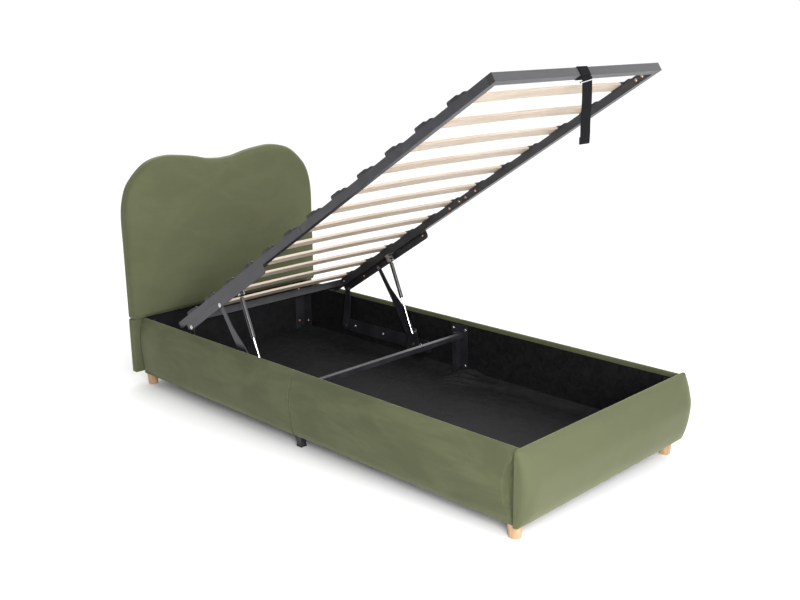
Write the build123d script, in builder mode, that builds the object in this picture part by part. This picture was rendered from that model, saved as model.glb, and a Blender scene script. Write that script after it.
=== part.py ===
from build123d import *
from math import atan2, cos, degrees, hypot, radians, sin
import os

# A single ottoman bed: an upholstered box base with a slatted frame that lifts on gas struts.
# X runs across the bed, Y from the foot end to the head end and Z up from the floor.
# The origin is on the floor in the middle of the bed. Sides are -1 for left and +1 for right.
# All sizes are in millimetres.

# Upholstered base
clear_width = 910            # between the lined inner faces of the two side rails
rail_length = 2096
rail_top = 308
rail_bottom = 55
rail_bulge = 46              # how far the padding stands out from the inner face
rail_bulge_head = 28         # the padding is drawn in where the rail meets the headboard
rail_bulge_foot = 39
rail_roll = 8                # flat width of the padded top edge
rail_shoulder_drop = 51      # heights of the bends of the padding, down from the top
rail_fullest_drop = 105
rail_belly_drop = 159
rail_tuck_rise = 36          # and up from the bottom
rail_foot_width = 20
rail_split_gap = 2           # between the two halves of a side rail
footboard_bulge = 58
footboard_bulge_end = 30
footboard_overhang = 33      # beyond the inner face of each side rail
footboard_end_round = 60
footboard_roll_drop = 29     # heights of the bends of its padding, down from the rails' top
footboard_shoulder_drop = 66
footboard_fullest_drop = 106
footboard_belly_drop = 151
footboard_tuck_rise = 52     # and up from the rails' bottom
footboard_top = 311
footboard_bottom = 52
board_thickness = 12
board_height = 232
board_lift = 2               # padding wraps under the boards by this much
lining_thickness = 1
lining_height = 234
soft_gap = 0.3               # between padded pieces that are pushed together

# Headboard
headboard_overhang = 60      # beyond the inner face of each side rail
headboard_depth = 70
headboard_crest_height = 1000
headboard_crest_x = 282
headboard_dip_depth = 37     # from the crests down to the dip between them
headboard_dip_rise = 23      # from the dip up to halfway out to a crest
headboard_bend_in = 112      # where the outline turns down past a crest
headboard_bend_drop = 34
headboard_turn_in = 28       # where it turns into the straight side
headboard_turn_rise = 128
headboard_shoulder_drop = 252  # from the crests down to the top of the straight sides
headboard_base_depth = 31
headboard_base_lift = 62
pad_front_round = 16
pad_back_round = 9
base_corner_round = 10

# Wooden feet and the centre support
foot_top_radius = 26
foot_bottom_radius = 20
foot_inset_side = 15         # from the inner face of a side rail to a foot's axis
foot_inset_foot_end = 28
foot_inset_head_end = 14
foot_edge_round = 2
support_top = 253            # the closed slatted frame comes down just above this
leg_size = 25
leg_cap_height = 8
leg_cap_rim = 2
leg_seam_overlap = 8         # how far a leg stands over the joint between the rail halves
cross_tube_size = 20
steel_wall = 1.5

# Storage floor and corner fittings
floor_fabric = 2
floor_lift = 58.3
floor_cut_clearance = 1
floor_cut_margin = 15        # beyond each end of a mid plate
plate_thickness = 3
corner_plate_length = 56
corner_plate_top = 285
mid_plate_length = 92
mid_plate_bottom = 66
mid_plate_top = 285
bolt_head_radius = 7
bolt_head_height = 4
bolt_shank_radius = 3
bolt_low = 105
bolt_high = 266
bolt_inset = 34

# Slatted frame, measured along it from its head end (u) and up from its underside (n)
frame_side_gap = 11          # between the slatted frame and the lined rail on each side
frame_length = 2000
frame_tilt = 32.31           # degrees, with the frame fully raised
frame_corner_from_head = 276.7
frame_corner_height = 306
tube_width = 25
tube_height = 30
tube_split = 970
tube_split_gap = 2
head_tube_start = 52
cap_thickness = 2.5
sleeve_length = 210
sleeve_clearance = 0.2
splice_bolt_steps = (-83, -20, 21, 82)
corner_bolt_head_step = 90   # from the head end of the frame
corner_bolt_foot_steps = (90, 62)  # back from the foot end of the frame
hole_clearance = 0.2

# Slats and their holders
slat_count = 12
slat_first = 110
slat_last = 169.6            # from the last slat's middle to the foot end of the frame
slat_width = 46
slat_thickness = 9
slat_bow = 5
slat_end_play = 2
holder_wall = 2.4
holder_floor = 1.2
holder_clearance = 0.4
clip_length = 30
clip_height = 8
clip_inset = 4
screw_radius = 4
screw_head = 1.6
screw_shank = 1.75

# Lifting gear, its fixed pivots measured from the head end of the rails and up from the floor
rear_pivot_from_head = 328
rear_pivot_height = 142
front_pivot_from_head = 794
front_pivot_height = 148
strut_foot_from_head = 800
strut_foot_height = 208
rear_pin_u = 78
front_pin_u = 330
link_pin_n = -22
strut_top_u = 446
strut_top_n = -28
upper_rail_start = 50
upper_rail_end = 690
upper_rail_drop = 32
upper_rail_plate = 3
upper_rail_bolts = ((211, -14), (659, -11))
arm_thickness = 4
arm_running_gap = 0.5
pin_radius = 6
pin_clearance = 0.08
pin_head_radius = 9
pin_head_height = 3
base_bar_end_margin = 32
base_bar_front_margin = 92
base_bar_bottom = 115
base_bar_top = 175
base_bar_bolts = (383, 574, 816, 850)
channel_depth = 30           # from the lined rail to the inner face of the channel
channel_half_length = 38
channel_ear_top = 224
channel_ear_half_length = 14
arm_boss_radius = 11
front_arm_top_radius = 11
front_arm_foot_radius = 19
rear_arm_top_radius = 13
rear_arm_foot_radius = 20
strut_inset = 42             # from the lined rail to the struts
strut_radius = 9
strut_wall = 1.5
strut_cylinder_end = 178     # from the strut's top pin to the open end of its cylinder
strut_neck = 14
strut_eye_radius = 9
strut_eye_width = 9
strut_pin_radius = 4
rod_radius = 4
rod_piston_length = 10
rod_overlap = 35
rod_running_clearance = 0.1
rod_socket_radius = 7
rod_socket_length = 24
strut_bracket_plate = 2.5
strut_bracket_half_length = 15

# Pull strap at the foot end
strap_width = 52
strap_thickness = 3
strap_centre_x = 0
strap_length = 218           # from the tube's centre to the strap's free end
strap_hem = 22
strap_hem_thickness = 7
strap_loop_clearance = 0.6
ring_wire = 1.5
ring_margin = 4
ring_drop = 9

# Places worked out from the sizes above
overall_length = footboard_bulge + rail_length + headboard_base_depth
foot_end = footboard_bulge - overall_length / 2
head_end = foot_end + rail_length
seam_y = foot_end + rail_length / 2
lining_face = clear_width / 2
board_face = lining_face + lining_thickness
fitting_face = lining_face - plate_thickness
footboard_half_width = lining_face + footboard_overhang
headboard_half_width = lining_face + headboard_overhang
foot_setback = lining_face - foot_inset_side
frame_half_width = lining_face - frame_side_gap
channel_inner = lining_face - channel_depth
strut_plane = lining_face - strut_inset
slat_pitch = (frame_length - slat_first - slat_last) / (slat_count - 1)
arm_outer = frame_half_width - upper_rail_plate - arm_running_gap
arm_inner = arm_outer - arm_thickness
tilt_sin = sin(radians(frame_tilt))
tilt_cos = cos(radians(frame_tilt))
corner_y = head_end - frame_corner_from_head
frame_plane = Plane(
    origin=(0, corner_y, frame_corner_height),
    x_dir=(0, -tilt_cos, tilt_sin),
    z_dir=(0, tilt_sin, tilt_cos),
)
rear_pivot = (head_end - rear_pivot_from_head, rear_pivot_height)
front_pivot = (head_end - front_pivot_from_head, front_pivot_height)
strut_foot = (head_end - strut_foot_from_head, strut_foot_height)


def frame_point(u, n):
    """A point of the raised slatted frame, as (y, z)."""
    y = corner_y - u * tilt_cos + n * tilt_sin
    z = frame_corner_height + u * tilt_sin + n * tilt_cos
    return (y, z)


rear_pin = frame_point(rear_pin_u, link_pin_n)
front_pin = frame_point(front_pin_u, link_pin_n)
strut_top = frame_point(strut_top_u, strut_top_n)
tube_centre = frame_point(frame_length - tube_width / 2, tube_height / 2)

os.makedirs("parts", exist_ok=True)


def keep(part, name):
    """Label a finished piece and write it under its name."""
    part.label = name
    export_step(part, f"parts/{name}.step")


def side_name(side):
    return "left" if side < 0 else "right"


def across(side, near, far):
    """The middle and the width of a span between two distances from the centre line."""
    return side * (near + far) / 2, abs(far - near)


def round_bar(side, near, far, place, radius, mode=Mode.ADD):
    """A round bar or a bore across the bed, at a (y, z) place on one side."""
    middle, run = across(side, near, far)
    with Locations((middle, place[0], place[1])):
        Cylinder(radius, run, rotation=(0, 90, 0), mode=mode)


# Side rails: padded covers in two halves, drawn in towards the headboard
def rail_cover(side, stations):
    y_low = stations[0][0]
    y_high = stations[-1][0]
    y_mid = (y_low + y_high) / 2
    y_run = y_high - y_low + 2
    with BuildPart() as cover:
        for y, bulge in stations:
            with BuildSketch(Plane(origin=(0, y, 0), x_dir=(1, 0, 0), z_dir=(0, -1, 0))):
                with BuildLine():
                    roll = (side * (lining_face + rail_roll), rail_top)
                    under = (side * (lining_face + rail_foot_width), rail_bottom)
                    Polyline(
                        under,
                        (side * lining_face, rail_bottom),
                        (side * lining_face, rail_top),
                        roll,
                    )
                    Spline(
                        roll,
                        (side * (lining_face + 0.80 * bulge), rail_top - rail_shoulder_drop),
                        (side * (lining_face + bulge), rail_top - rail_fullest_drop),
                        (side * (lining_face + 0.93 * bulge), rail_top - rail_belly_drop),
                        (side * (lining_face + 0.76 * bulge), rail_bottom + rail_tuck_rise),
                        under,
                        tangents=((side, -0.15), (-0.5 * side, -1)),
                    )
                make_face()
        loft()
        board_mid, board_run = across(side, board_face, board_face + board_thickness)
        with Locations((board_mid, y_mid, rail_bottom + board_lift)):
            Box(
                board_run, y_run, board_height,
                align=(Align.CENTER, Align.CENTER, Align.MIN), mode=Mode.SUBTRACT,
            )
        lining_mid, lining_run = across(side, lining_face, board_face)
        with Locations((lining_mid, y_mid, rail_bottom)):
            Box(
                lining_run, y_run, lining_height + board_lift,
                align=(Align.CENTER, Align.CENTER, Align.MIN), mode=Mode.SUBTRACT,
            )
    return cover.part


seam_low = seam_y - rail_split_gap / 2
seam_high = seam_y + rail_split_gap / 2
foot_half_stations = (
    (foot_end + soft_gap, rail_bulge_foot),
    (foot_end + 90, rail_bulge - 3),
    (seam_low - 300, rail_bulge),
    (seam_low, rail_bulge),
)
head_half_stations = (
    (seam_high, rail_bulge),
    (head_end - 400, rail_bulge),
    (head_end - 110, rail_bulge - 6),
    (head_end, rail_bulge_head),
)
for side in (-1, 1):
    keep(rail_cover(side, foot_half_stations), f"side_rail_{side_name(side)}_foot")
    keep(rail_cover(side, head_half_stations), f"side_rail_{side_name(side)}_head")

# Boards inside the rails, one behind each padded half
with BuildPart() as rail_boards:
    for side in (-1, 1):
        board_mid, board_run = across(side, board_face, board_face + board_thickness)
        for y_low, y_high in ((foot_end + soft_gap, seam_low), (seam_high, head_end)):
            with Locations((board_mid, (y_low + y_high) / 2, rail_bottom + board_lift)):
                Box(
                    board_run, y_high - y_low, board_height,
                    align=(Align.CENTER, Align.CENTER, Align.MIN),
                )
keep(rail_boards.part, "rail_boards")

# Footboard: a padded D-shaped panel over a board
footboard_turns = (0, 30, 60, 90)
footboard_left_end = [
    (
        -footboard_half_width + footboard_end_round * (1 - cos(radians(turn))),
        footboard_bulge_end + (footboard_bulge - footboard_bulge_end) * sin(radians(turn)),
    )
    for turn in footboard_turns
]
footboard_stations = footboard_left_end + [(-x, bulge) for x, bulge in reversed(footboard_left_end)]
footboard_board_half = lining_face + board_thickness
with BuildPart() as footboard:
    for x, bulge in footboard_stations:
        with BuildSketch(Plane.YZ.offset(x)):
            with BuildLine():
                crest = (foot_end - rail_roll, footboard_top)
                under = (foot_end - board_thickness - 2, footboard_bottom + 3)
                Polyline(
                    under,
                    (foot_end, footboard_bottom),
                    (foot_end, footboard_top),
                    crest,
                )
                Spline(
                    crest,
                    (foot_end - 0.60 * bulge, rail_top - footboard_roll_drop),
                    (foot_end - 0.85 * bulge, rail_top - footboard_shoulder_drop),
                    (foot_end - bulge, rail_top - footboard_fullest_drop),
                    (foot_end - 0.93 * bulge, rail_top - footboard_belly_drop),
                    (foot_end - 0.75 * bulge, rail_bottom + footboard_tuck_rise),
                    under,
                    tangents=((-1, -0.2), (0.7, -1)),
                )
            make_face()
    loft(ruled=True)
    with Locations((0, foot_end - lining_thickness, rail_bottom + board_lift)):
        Box(
            2 * footboard_board_half, board_thickness, board_height,
            align=(Align.CENTER, Align.MAX, Align.MIN), mode=Mode.SUBTRACT,
        )
    with Locations((0, foot_end, rail_bottom + board_lift)):
        Box(
            2 * lining_face, lining_thickness, lining_height,
            align=(Align.CENTER, Align.MAX, Align.MIN), mode=Mode.SUBTRACT,
        )
keep(footboard.part, "footboard")

with BuildPart() as footboard_board:
    with Locations((0, foot_end - lining_thickness, rail_bottom + board_lift)):
        Box(
            2 * footboard_board_half, board_thickness, board_height,
            align=(Align.CENTER, Align.MAX, Align.MIN),
        )
keep(footboard_board.part, "footboard_board")

# Black fabric linings on the four inner faces
with BuildPart() as linings:
    for side in (-1, 1):
        lining_mid, lining_run = across(side, lining_face, board_face)
        with Locations((lining_mid, (foot_end + soft_gap + head_end) / 2, rail_bottom + board_lift)):
            Box(
                lining_run, rail_length - soft_gap, lining_height,
                align=(Align.CENTER, Align.CENTER, Align.MIN),
            )
    with Locations((0, foot_end, rail_bottom + board_lift)):
        Box(
            2 * (lining_face - soft_gap), lining_thickness, lining_height,
            align=(Align.CENTER, Align.MAX, Align.MIN),
        )
    with Locations((0, head_end, rail_bottom + board_lift)):
        Box(
            2 * (lining_face - soft_gap), lining_thickness, lining_height,
            align=(Align.CENTER, Align.MAX, Align.MIN),
        )
keep(linings.part, "inner_linings")

# Headboard: a padded top with two crests, on a thin upholstered lower panel
headboard_back = head_end + headboard_base_depth
pad_bottom = rail_top + soft_gap
pad_back_steps = [
    (
        headboard_back - pad_back_round * (1 - cos(radians(turn))),
        pad_back_round * (1 - sin(radians(turn))),
    )
    for turn in (0, 45, 90)
]
pad_front = headboard_back - headboard_depth
pad_front_steps = [
    (
        pad_front + pad_front_round * (1 - sin(radians(turn))),
        pad_front_round * (1 - cos(radians(turn))),
    )
    for turn in (0, 30, 60, 90)
]
with BuildPart() as headboard_pad:
    for y, inset in pad_back_steps + pad_front_steps:
        half = headboard_half_width - inset
        crest = headboard_crest_height - inset
        dip = crest - headboard_dip_depth
        shoulder = crest - headboard_shoulder_drop
        bottom = pad_bottom + inset
        with BuildSketch(Plane(origin=(0, y, 0), x_dir=(1, 0, 0), z_dir=(0, -1, 0))):
            with BuildLine():
                Polyline((-half, shoulder), (-half, bottom), (half, bottom), (half, shoulder))
                for side in (-1, 1):
                    Spline(
                        (side * half, shoulder),
                        (side * (half - headboard_turn_in), shoulder + headboard_turn_rise),
                        (side * (half - headboard_bend_in), crest - headboard_bend_drop),
                        (side * headboard_crest_x, crest),
                        (side * headboard_crest_x / 2, dip + headboard_dip_rise),
                        (0, dip),
                        tangents=((0, 1), (-side, 0)),
                    )
            make_face()
    loft(ruled=True)
keep(headboard_pad.part, "headboard_pad")

with BuildPart() as headboard_base:
    with Locations((0, head_end, headboard_base_lift)):
        Box(
            2 * headboard_half_width, headboard_base_depth, rail_top - headboard_base_lift,
            align=(Align.CENTER, Align.MIN, Align.MIN),
        )
    upright_edges = headboard_base.edges().filter_by(Axis.Z)
    fillet(upright_edges.group_by(Axis.Y)[-1], radius=base_corner_round)
keep(headboard_base.part, "headboard_base")

# Turned wooden feet, one under each corner
foot_rows = {
    "headboard": head_end - foot_inset_head_end,
    "footboard": foot_end + foot_inset_foot_end,
}
for row_name, foot_y in foot_rows.items():
    for side in (-1, 1):
        with BuildPart() as foot:
            with BuildSketch(Plane(
                origin=(side * foot_setback, foot_y, 0), x_dir=(1, 0, 0), z_dir=(0, -1, 0)
            )):
                with BuildLine():
                    Polyline(
                        (0, 0),
                        (foot_bottom_radius, 0),
                        (foot_top_radius, rail_bottom),
                        (0, rail_bottom),
                        close=True,
                    )
                make_face()
            revolve(axis=Axis((side * foot_setback, foot_y, 0), (0, 0, 1)))
            fillet(foot.edges().sort_by(Axis.Z)[0], radius=foot_edge_round)
        keep(foot.part, f"foot_{row_name}_{side_name(side)}")

# Centre support: a cross tube between two square legs with plastic caps
leg_outer = fitting_face
leg_mid = leg_outer - leg_size / 2
leg_y = seam_y + leg_size / 2 - leg_seam_overlap
with BuildPart() as legs:
    for side in (-1, 1):
        with Locations((side * leg_mid, leg_y, leg_cap_height)):
            Box(
                leg_size, leg_size, support_top - leg_cap_height,
                align=(Align.CENTER, Align.CENTER, Align.MIN),
            )
        with Locations((side * leg_mid, leg_y, leg_cap_height)):
            Box(
                leg_size - 2 * steel_wall, leg_size - 2 * steel_wall,
                support_top - leg_cap_height - steel_wall,
                align=(Align.CENTER, Align.CENTER, Align.MIN), mode=Mode.SUBTRACT,
            )
keep(legs.part, "centre_legs")

with BuildPart() as leg_caps:
    plug = leg_size - 2 * steel_wall - sleeve_clearance
    for side in (-1, 1):
        with Locations((side * leg_mid, leg_y, 0)):
            Box(
                leg_size + leg_cap_rim, leg_size + leg_cap_rim, leg_cap_height,
                align=(Align.CENTER, Align.CENTER, Align.MIN),
            )
            Box(
                plug, plug, 2 * leg_cap_height,
                align=(Align.CENTER, Align.CENTER, Align.MIN),
            )
keep(leg_caps.part, "centre_leg_caps")

cross_tube_y = leg_y - leg_size / 2
with BuildPart() as cross_tube:
    with Locations((0, cross_tube_y, support_top)):
        Box(
            2 * leg_outer, cross_tube_size, cross_tube_size,
            align=(Align.CENTER, Align.MAX, Align.MAX),
        )
    with Locations((0, cross_tube_y - steel_wall, support_top - steel_wall)):
        bore = cross_tube_size - 2 * steel_wall
        Box(
            2 * leg_outer + 1, bore, bore,
            align=(Align.CENTER, Align.MAX, Align.MAX), mode=Mode.SUBTRACT,
        )
keep(cross_tube.part, "centre_cross_tube")

# Storage floor: two fabric panels, cut out round the corner plates and the centre legs
floor_seam = leg_y
corner_cut = corner_plate_length + plate_thickness + floor_cut_clearance
leg_cut = leg_size + leg_cap_rim + 2 * floor_cut_clearance
for panel_name, y_low, y_high in (
    ("floor_panel_foot", foot_end + soft_gap, floor_seam - soft_gap),
    ("floor_panel_head", floor_seam + soft_gap, head_end - lining_thickness),
):
    with BuildPart() as floor_panel:
        with Locations((0, (y_low + y_high) / 2, floor_lift)):
            Box(
                2 * lining_face, y_high - y_low, floor_fabric,
                align=(Align.CENTER, Align.CENTER, Align.MIN),
            )
        outer_end = y_low if panel_name == "floor_panel_foot" else y_high
        with Locations(
            (-lining_face, outer_end, floor_lift), (lining_face, outer_end, floor_lift)
        ):
            Box(2 * corner_cut, 2 * corner_cut, 3 * floor_fabric, mode=Mode.SUBTRACT)
        with Locations((-leg_mid, leg_y, floor_lift), (leg_mid, leg_y, floor_lift)):
            Box(leg_cut, leg_cut, 3 * floor_fabric, mode=Mode.SUBTRACT)
        with Locations((-lining_face, leg_y, floor_lift), (lining_face, leg_y, floor_lift)):
            plate_cut = 2 * (plate_thickness + floor_cut_clearance)
            Box(plate_cut, mid_plate_length + 2 * floor_cut_margin, 3 * floor_fabric, mode=Mode.SUBTRACT)
    keep(floor_panel.part, panel_name)

# Corner plates: an angle in each corner, with a bottom plate that carries the foot
with BuildPart() as corner_plates:
    for side in (-1, 1):
        for face_y, inward in ((foot_end, 1), (head_end - lining_thickness, -1)):
            y_align = Align.MIN if inward > 0 else Align.MAX
            x_align = Align.MAX if side > 0 else Align.MIN
            side_start = soft_gap if inward > 0 else 0
            with Locations((side * lining_face, face_y + side_start, rail_bottom)):
                Box(
                    plate_thickness, corner_plate_length, corner_plate_top - rail_bottom,
                    align=(x_align, y_align, Align.MIN),
                )
                Box(
                    corner_plate_length, corner_plate_length, plate_thickness,
                    align=(x_align, y_align, Align.MIN),
                )
            with Locations((side * lining_face, face_y, rail_bottom)):
                Box(
                    corner_plate_length, plate_thickness, corner_plate_top - rail_bottom,
                    align=(x_align, y_align, Align.MIN),
                )
keep(corner_plates.part, "corner_plates")

# Flat plates that join the two halves of each side rail
with BuildPart() as mid_plates:
    for side in (-1, 1):
        plate_mid, plate_run = across(side, fitting_face, lining_face)
        with Locations((plate_mid, seam_y, mid_plate_bottom)):
            Box(
                plate_run, mid_plate_length, mid_plate_top - mid_plate_bottom,
                align=(Align.CENTER, Align.CENTER, Align.MIN),
            )
keep(mid_plates.part, "mid_plates")

# Bolts of the base: domed heads on the plates and on the base bars
base_bolt_places = []
for side in (-1, 1):
    for bolt_z in (bolt_low, bolt_high):
        for bolt_y in (
            foot_end + bolt_inset,
            seam_y - bolt_inset,
            seam_y + bolt_inset,
            head_end - bolt_inset,
        ):
            base_bolt_places.append((side, bolt_y, bolt_z))
    for from_head in base_bar_bolts:
        base_bolt_places.append((side, head_end - from_head, (base_bar_bottom + base_bar_top) / 2))
with BuildPart() as base_bolts:
    for side, bolt_y, bolt_z in base_bolt_places:
        with BuildSketch(Plane.YZ.offset(side * fitting_face)):
            with Locations((bolt_y, bolt_z)):
                Circle(bolt_head_radius)
        extrude(amount=-side * bolt_head_height, taper=12)
    for side in (-1, 1):
        for bolt_z in (bolt_low, bolt_high):
            for plate_y, inward in (
                (foot_end + plate_thickness, 1),
                (head_end - lining_thickness - plate_thickness, -1),
            ):
                with BuildSketch(Plane.XZ.offset(-plate_y)):
                    with Locations((side * (lining_face - bolt_inset), bolt_z)):
                        Circle(bolt_head_radius)
                extrude(amount=-inward * bolt_head_height, taper=12)
keep(base_bolts.part, "base_bolts")

# Base bars: flat bars on the rails, with a channel that carries the front arm and faces the strut
bar_front = front_pivot[0] - base_bar_front_margin
bar_rear = rear_pivot[0] + base_bar_end_margin
bar_mid_z = (base_bar_bottom + base_bar_top) / 2
for side in (-1, 1):
    bar_mid, bar_run = across(side, fitting_face, lining_face)
    ear_mid, ear_run = across(side, channel_inner, channel_inner + plate_thickness)
    floor_mid, floor_run = across(side, channel_inner, lining_face)
    with BuildPart() as base_bar:
        with BuildSketch(Plane.YZ.offset(bar_mid - bar_run / 2)):
            with Locations(((bar_front + bar_rear) / 2, bar_mid_z)):
                SlotOverall(bar_rear - bar_front, base_bar_top - base_bar_bottom)
        extrude(amount=bar_run)
        with Locations((floor_mid, front_pivot[0], base_bar_bottom)):
            Box(
                floor_run, 2 * channel_half_length, plate_thickness,
                align=(Align.CENTER, Align.CENTER, Align.MAX),
            )
        with Locations((bar_mid, front_pivot[0], base_bar_bottom)):
            Box(
                bar_run, 2 * channel_half_length, plate_thickness,
                align=(Align.CENTER, Align.CENTER, Align.MAX),
            )
        with BuildSketch(Plane.YZ.offset(ear_mid - ear_run / 2)):
            with BuildLine():
                ear_bottom = base_bar_bottom - plate_thickness
                Polyline(
                    (front_pivot[0] - channel_half_length, ear_bottom),
                    (front_pivot[0] + channel_half_length, ear_bottom),
                    (front_pivot[0] + channel_half_length, front_pivot_height),
                    (strut_foot[0] + channel_ear_half_length, channel_ear_top),
                    (strut_foot[0] - channel_ear_half_length, channel_ear_top),
                    (front_pivot[0] - channel_half_length, front_pivot_height),
                    close=True,
                )
            make_face()
        extrude(amount=ear_run)
        round_bar(side, channel_inner - 1, lining_face + 1, front_pivot,
                  pin_radius + pin_clearance / 2, Mode.SUBTRACT)
    keep(base_bar.part, f"base_bar_{side_name(side)}")

# Fixed pins that the front arms turn on, with a head against the channel's ear
with BuildPart() as front_foot_pins:
    for side in (-1, 1):
        round_bar(side, channel_inner, lining_face, front_pivot, pin_radius)
        round_bar(side, channel_inner - pin_head_height, channel_inner, front_pivot, pin_head_radius)
keep(front_foot_pins.part, "front_foot_pins")


# Arms of the lifting gear: flat plates between a foot pivot and a pin on the slatted frame
def arm_point(foot, top, along, offset):
    """A point beside the line from an arm's foot to its top, offset towards the foot end."""
    length = hypot(top[0] - foot[0], top[1] - foot[1])
    dir_y = (top[0] - foot[0]) / length
    dir_z = (top[1] - foot[1]) / length
    return (foot[0] + along * dir_y - offset * dir_z, foot[1] + along * dir_z + offset * dir_y)


front_arm_length = hypot(front_pin[0] - front_pivot[0], front_pin[1] - front_pivot[1])
rear_arm_length = hypot(rear_pin[0] - rear_pivot[0], rear_pin[1] - rear_pivot[1])
# Outlines of the arms: distance along from the foot pivot, then offset towards the foot end
front_arm_outline = (
    (-2, front_arm_foot_radius - 2),
    (0.22 * front_arm_length, 36),
    (0.46 * front_arm_length, 35),
    (0.72 * front_arm_length, 13),
    (front_arm_length, front_arm_top_radius - 1),
    (front_arm_length, 1 - front_arm_top_radius),
    (0.50 * front_arm_length, -13),
    (0.20 * front_arm_length, -22),
    (-2, 2 - front_arm_foot_radius),
)
rear_arm_outline = (
    (0, rear_arm_foot_radius - 1),
    (0.30 * rear_arm_length, 27),
    (0.72 * rear_arm_length, 23),
    (rear_arm_length, rear_arm_top_radius - 1),
    (rear_arm_length, 1 - rear_arm_top_radius),
    (0.60 * rear_arm_length, -17),
    (0, 1 - rear_arm_foot_radius),
)
arm_start = {-1: -arm_outer, 1: arm_inner}
for side in (-1, 1):
    with BuildPart() as front_arm:
        with BuildSketch(Plane.YZ.offset(arm_start[side])):
            with BuildLine():
                Polyline(
                    *[arm_point(front_pivot, front_pin, *corner) for corner in front_arm_outline],
                    close=True,
                )
            make_face()
            with Locations(front_pivot):
                Circle(front_arm_foot_radius)
            with Locations(front_pin):
                Circle(front_arm_top_radius)
        extrude(amount=arm_thickness)
        boss_near = channel_inner + plate_thickness + arm_running_gap
        round_bar(side, boss_near, fitting_face - arm_running_gap, front_pivot, arm_boss_radius)
        round_bar(side, channel_inner, lining_face, front_pivot,
                  pin_radius + pin_clearance, Mode.SUBTRACT)
        round_bar(side, channel_inner, lining_face, front_pin,
                  pin_radius + pin_clearance, Mode.SUBTRACT)
    keep(front_arm.part, f"front_arm_{side_name(side)}")

    with BuildPart() as rear_arm:
        with BuildSketch(Plane.YZ.offset(arm_start[side])):
            with BuildLine():
                Polyline(
                    *[arm_point(rear_pivot, rear_pin, *corner) for corner in rear_arm_outline],
                    close=True,
                )
            make_face()
            with Locations(rear_pivot):
                Circle(rear_arm_foot_radius)
            with Locations(rear_pin):
                Circle(rear_arm_top_radius)
        extrude(amount=arm_thickness)
        round_bar(side, arm_inner - pin_head_height, arm_inner, rear_pivot, pin_head_radius)
        round_bar(side, arm_outer, fitting_face - arm_running_gap, rear_pivot, pin_radius)
        round_bar(side, channel_inner, lining_face, rear_pin,
                  pin_radius + pin_clearance, Mode.SUBTRACT)
    keep(rear_arm.part, f"rear_arm_{side_name(side)}")

# Side tubes of the slatted frame, each in two halves
tube_inner = frame_half_width - tube_width
bolt_steps = [tube_split + step for step in splice_bolt_steps] + [corner_bolt_head_step]
bolt_steps += [frame_length - step for step in corner_bolt_foot_steps]
side_tube_end = frame_length - tube_width
tube_halves = {
    "head": (0, tube_split - tube_split_gap / 2),
    "foot": (tube_split + tube_split_gap / 2, side_tube_end),
}
for side in (-1, 1):
    tube_mid, tube_run = across(side, tube_inner, frame_half_width)
    for half_name, (u_low, u_high) in tube_halves.items():
        with BuildPart(frame_plane) as side_tube:
            with Locations(((u_low + u_high) / 2, tube_mid, tube_height / 2)):
                Box(u_high - u_low, tube_run, tube_height)
                Box(
                    u_high - u_low, tube_run - 2 * steel_wall, tube_height - 2 * steel_wall,
                    mode=Mode.SUBTRACT,
                )
            for bolt_u in bolt_steps:
                with Locations((bolt_u, side * tube_inner, tube_height / 2)):
                    Cylinder(
                        bolt_shank_radius + hole_clearance, 4 * steel_wall,
                        rotation=(90, 0, 0), mode=Mode.SUBTRACT,
                    )
        keep(side_tube.part, f"side_tube_{side_name(side)}_{half_name}")

# Sleeves inside the side tubes, across the split
sleeve_width = tube_width - 2 * steel_wall - 2 * sleeve_clearance
sleeve_height = tube_height - 2 * steel_wall - 2 * sleeve_clearance
with BuildPart(frame_plane) as splice_sleeves:
    for side in (-1, 1):
        with Locations((tube_split, side * (tube_inner + tube_width / 2), tube_height / 2)):
            Box(sleeve_length, sleeve_width, sleeve_height)
            Box(
                sleeve_length, sleeve_width - 2 * steel_wall, sleeve_height - 2 * steel_wall,
                mode=Mode.SUBTRACT,
            )
        for step in splice_bolt_steps:
            with Locations((tube_split + step, side * tube_inner, tube_height / 2)):
                Cylinder(
                    bolt_shank_radius + hole_clearance, 6 * steel_wall,
                    rotation=(90, 0, 0), mode=Mode.SUBTRACT,
                )
keep(splice_sleeves.part, "splice_sleeves")

# End tubes: one across the foot end of the side tubes, one between them near the head end
with BuildPart(frame_plane) as foot_end_tube:
    with Locations((frame_length - tube_width / 2, 0, tube_height / 2)):
        foot_tube_run = 2 * (frame_half_width - cap_thickness)
        Box(tube_width, foot_tube_run, tube_height)
        Box(
            tube_width - 2 * steel_wall, foot_tube_run, tube_height - 2 * steel_wall,
            mode=Mode.SUBTRACT,
        )
    long_edges = foot_end_tube.edges().filter_by(Axis.X)
    fillet(long_edges.sort_by(Axis.Z)[-1], radius=steel_wall)
keep(foot_end_tube.part, "foot_end_tube")

with BuildPart(frame_plane) as head_end_tube:
    with Locations((head_tube_start + tube_width / 2, 0, tube_height / 2)):
        Box(tube_width, 2 * tube_inner, tube_height)
        Box(
            tube_width - 2 * steel_wall, 2 * tube_inner, tube_height - 2 * steel_wall,
            mode=Mode.SUBTRACT,
        )
keep(head_end_tube.part, "head_end_tube")

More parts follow.
